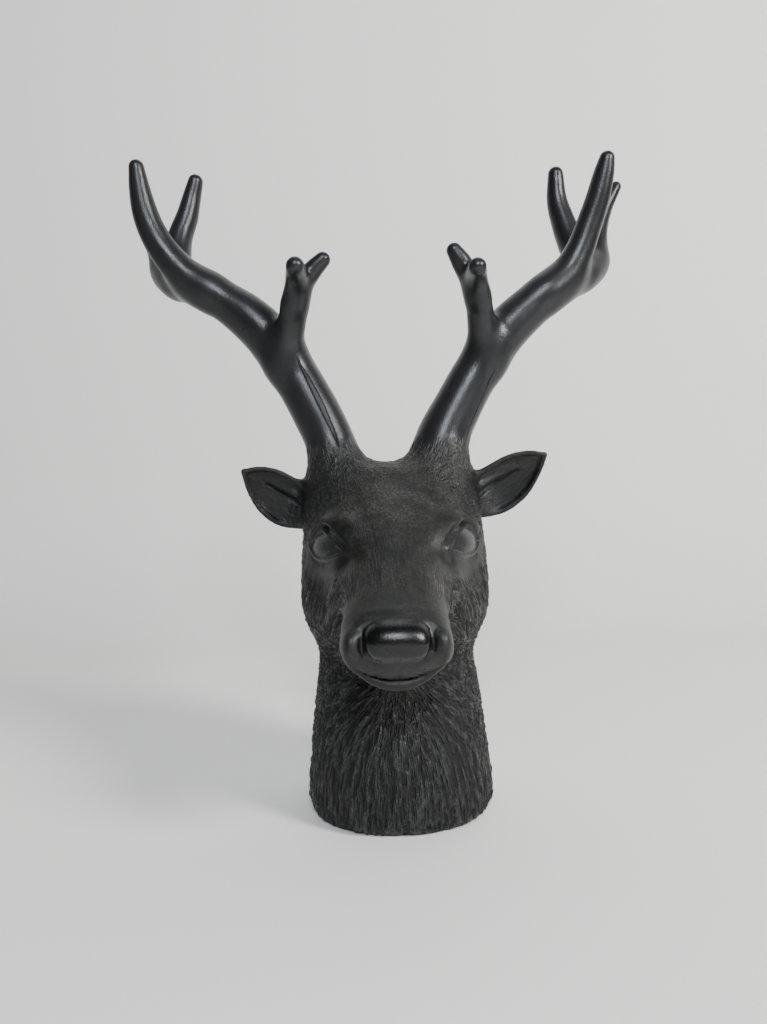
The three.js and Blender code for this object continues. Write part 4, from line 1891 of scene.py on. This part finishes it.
@dataclass
class ShaderNodes(Nodes):
    """The nodes of a material that reads Object coordinates.

    Args:
        tree: The tree.
    """

    def __post_init__(self) -> None:
        """Adds the coordinates."""
        self.place = self.add("ShaderNodeTexCoord").outputs["Object"]

    def attribute(self, name: str) -> bpy.types.NodeSocket:
        """One of the piece's own attributes."""
        made = self.add("ShaderNodeAttribute", attribute_type="GEOMETRY", attribute_name=name)
        return made.outputs["Fac"]

    def noise(self, scale: float, detail: float, roughness: float) -> bpy.types.NodeSocket:
        """Noise, by its scale, detail and roughness."""
        inputs = {"Vector": self.place, "Scale": scale, "Detail": detail, "Roughness": roughness}
        return self.add("ShaderNodeTexNoise", inputs).outputs[0]

    def graph(self, value: bpy.types.NodeSocket, *stops: float) -> bpy.types.NodeSocket:
        """A value brought from one range, low and high, to another."""
        keys = ("From Min", "From Max", "To Min", "To Max")
        inputs = {"Value": value, **dict(zip(keys, stops))}
        return self.add("ShaderNodeMapRange", inputs, clamp=True).outputs[0]

    def mix(self, factor: bpy.types.NodeSocket, a: object, b: object) -> bpy.types.NodeSocket:
        """A colour between two colours."""
        a, b = ((*colour, 1) if isinstance(colour, tuple) else colour for colour in (a, b))
        inputs = {"Factor": factor, 6: a, 7: b}
        return self.add("ShaderNodeMix", inputs, data_type="RGBA").outputs[2]

    def blend(self, factor: bpy.types.NodeSocket, a: object, b: object) -> bpy.types.NodeSocket:
        """A number between two numbers."""
        inputs = {"Factor": factor, 2: a, 3: b}
        return self.add("ShaderNodeMix", inputs, data_type="FLOAT").outputs[0]

    def bump(
        self,
        height: bpy.types.NodeSocket,
        depth: float,
        strength: float,
        normal: bpy.types.NodeSocket | None = None,
    ) -> bpy.types.NodeSocket:
        """Fine relief.

        Args:
            height: Where it stands up.
            depth: How far, in metres, or below 0 where it is cut in.
            strength: How strongly it shows.
            normal: The relief that it comes on top of.

        Returns:
            The normal.
        """
        inputs = {"Strength": strength, "Distance": abs(depth), "Height": height}
        if normal is not None:
            inputs["Normal"] = normal
        return self.add("ShaderNodeBump", inputs, invert=depth < 0).outputs[0]


@dataclass(frozen=True)
class StudioPaper:
    """Pale matte paper under and behind the sculpture.

    Args:
        name: The material's name.
        colour: Its colour.
        roughness: Its roughness.
    """

    name: str
    colour: Point = (0.88, 0.87, 0.85)
    roughness: float = 0.8

    def build(self) -> bpy.types.Material:
        """Makes the material.

        Returns:
            It.
        """
        material = bpy.data.materials.new(self.name)
        material.use_nodes = True
        shader = material.node_tree.nodes["Principled BSDF"]
        shader.inputs["Base Color"].default_value = (*self.colour, 1)
        shader.inputs["Roughness"].default_value = self.roughness
        return material


# The scene

@dataclass
class Sculpture:
    """Makes the casting's piece.

    Args:
        name: The piece's name.
        form: Its form.
        fine: Spacing of the lattice on the head.
        coarse: Spacing on the antlers.
        triangles: How many triangles the finished piece has.
    """

    name: str = "deer_head_casting"
    form: Casting = field(default_factory=Casting)
    fine: float = 0.64
    coarse: float = 0.95
    triangles: int = 192_000

    def build(self, finish: bpy.types.Material) -> bpy.types.Object:
        """Wraps, carves and finishes the casting.

        Args:
            finish: Its material.

        Returns:
            The piece.
        """
        wrap = Wrap(self.form, lattice(self.fine, self.coarse))
        log.info("%s: %d blocks read", self.name, wrap.sample())
        points, quads = wrap.surface()
        points = wrap.settle(points)
        log.info("%s: %d points, %d quads", self.name, len(points), len(quads))
        piece = self._object(points, quads)
        for name, values in Coat(self.form).read(points).items():
            self._store(piece.data, name, values)
        self._store(piece.data, "clay", points)
        StrokeCarver().carve(piece, finish)
        self._thin(piece)
        piece.data.attributes.remove(piece.data.attributes["clay"])
        piece.data.shade_smooth()
        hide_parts("deer_head")
        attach(piece, "root")
        return piece

    def _object(self, points: Array, quads: Array) -> bpy.types.Object:
        """Makes the piece's object.

        Args:
            points: Its points, in millimetres.
            quads: The four corners of each face.

        Returns:
            The object.
        """
        mesh = bpy.data.meshes.new(self.name)
        mesh.vertices.add(len(points))
        mesh.vertices.foreach_set("co", (points * MM).astype(np.float32).ravel())
        mesh.loops.add(quads.size)
        mesh.loops.foreach_set("vertex_index", quads.astype(np.int32).ravel())
        mesh.polygons.add(len(quads))
        mesh.polygons.foreach_set("loop_start", np.arange(0, quads.size, 4, dtype=np.int32))
        mesh.update(calc_edges=True)
        mesh.validate()
        piece = bpy.data.objects.new(self.name, mesh)
        bpy.context.scene.collection.objects.link(piece)
        return piece

    @staticmethod
    def _store(mesh: bpy.types.Mesh, name: str, values: Array) -> None:
        """Stores an attribute on a mesh's points.

        Args:
            mesh: The mesh.
            name: The attribute's name.
            values: A number or a vector for each point.
        """
        kind = "FLOAT_VECTOR" if values.ndim == 2 else "FLOAT"
        made = mesh.attributes.new(name, kind, "POINT")
        key = "vector" if values.ndim == 2 else "value"
        made.data.foreach_set(key, values.astype(np.float32).ravel())

    def _thin(self, piece: bpy.types.Object) -> None:
        """Thins the mesh where it is smooth, to the number of triangles wanted.

        Args:
            piece: The piece.
        """
        triangles = 2 * len(piece.data.polygons)
        if triangles > self.triangles:
            thin = piece.modifiers.new("thin", "DECIMATE")
            thin.ratio = self.triangles / triangles
            keep_result(piece)


@dataclass(frozen=True)
class Lamp:
    """A round soft light aimed at the sculpture.

    Args:
        name: Its name.
        place: Its place in metres.
        size: Its diameter.
        power: Its power in watts.
        colour: Its colour.
        aim: Where it shines.
    """

    name: str
    place: Point
    size: float
    power: float
    colour: Point
    aim: Point = (0, 0, 0.15)

    def build(self) -> None:
        """Makes the light."""
        lamp = bpy.data.lights.new(self.name, "AREA")
        lamp.shape, lamp.size, lamp.energy, lamp.color = "DISK", self.size, self.power, self.colour
        light = bpy.data.objects.new(self.name, lamp)
        light.location = self.place
        way = Vector(self.aim) - Vector(self.place)
        light.rotation_euler = way.to_track_quat("-Z", "Y").to_euler()
        bpy.context.scene.collection.objects.link(light)


@dataclass(frozen=True)
class Studio:
    """Floor, lights and camera.

    Args:
        lamps: The lights.
        sky: Colour of the light from all round.
        sky_power: Its strength.
        paper: Finish of floor and backdrop.
        front: Where the floor starts, in metres.
        bend: Where it bends upward.
        bend_radius: Radius of the bend.
        half_width: Half its width.
        height: Height of the backdrop.
        place: The camera's place in metres.
        pitch: Its downward turn in degrees.
        yaw: Its sideways turn.
        roll: Its turn round its own axis.
        focal: Its focal length in image heights.
    """

    lamps: tuple[Lamp, ...] = (
        Lamp("key", (1.05, -0.80, 0.88), 0.4, 25.0, (1.0, 0.99, 0.97)),
        Lamp("window", (0.02, -1.15, 0.95), 0.36, 15.0, (0.90, 0.95, 1.0)),
        Lamp("top", (0.05, 0.3, 1.3), 0.6, 1.0, (0.95, 0.97, 1.0)),
    )
    sky: Point = (0.75, 0.77, 0.8)
    sky_power: float = 0.13
    paper: StudioPaper = StudioPaper("studio_paper")
    front: float = -1.6
    bend: float = 0.32
    bend_radius: float = 0.16
    half_width: float = 2.2
    height: float = 1.9
    place: Point = (-0.00887, -0.355, 0.154)
    pitch: float = 3.0
    yaw: float = -0.765
    roll: float = -1.832
    focal: float = 769 / 1024

    def build(self) -> None:
        """Makes them all."""
        self._floor()
        for lamp in self.lamps:
            lamp.build()
        world = bpy.data.worlds.new("studio")
        world.use_nodes = True
        background = world.node_tree.nodes["Background"]
        background.inputs[0].default_value = (*self.sky, 1)
        background.inputs[1].default_value = self.sky_power
        bpy.context.scene.world = world
        self._camera()

    def _floor(self) -> None:
        """Makes the floor and backdrop in one sheet."""
        radius, steps = self.bend_radius, 12
        profile = [(self.front, 0.0), (self.bend, 0.0)]
        for i in range(1, steps + 1):
            turn = math.radians(90 * i / steps)
            profile.append((self.bend + radius * math.sin(turn), radius * (1 - math.cos(turn))))
        profile.append((self.bend + radius, self.height))
        verts = [(x, y, z) for y, z in profile for x in (-self.half_width, self.half_width)]
        faces = [(2 * i, 2 * i + 1, 2 * i + 3, 2 * i + 2) for i in range(len(profile) - 1)]
        mesh = bpy.data.meshes.new("floor")
        mesh.from_pydata(verts, [], faces)
        mesh.shade_smooth()
        floor = bpy.data.objects.new("floor", mesh)
        bpy.context.scene.collection.objects.link(floor)
        mesh.materials.append(self.paper.build())

    def _camera(self) -> None:
        """Makes the camera."""
        lens = bpy.data.cameras.new("camera")
        lens.sensor_fit, lens.sensor_height = "VERTICAL", 36.0
        lens.lens = lens.sensor_height * self.focal
        lens.clip_start, lens.clip_end = 0.01, 20.0
        camera = bpy.data.objects.new("camera", lens)
        turn = (
            Matrix.Rotation(math.radians(self.yaw), 4, "Z")
            @ Matrix.Rotation(math.radians(90 - self.pitch), 4, "X")
            @ Matrix.Rotation(math.radians(self.roll), 4, "Z")
        )
        camera.matrix_world = Matrix.Translation(self.place) @ turn
        bpy.context.scene.collection.objects.link(camera)
        bpy.context.scene.camera = camera


def main() -> None:
    """Builds the scene."""
    piece = Sculpture().build(CastResin("cast_resin").build())
    log.info("%s: %d faces", piece.name, len(piece.data.polygons))
    Studio().build()


if __name__ == "__main__":
    main()
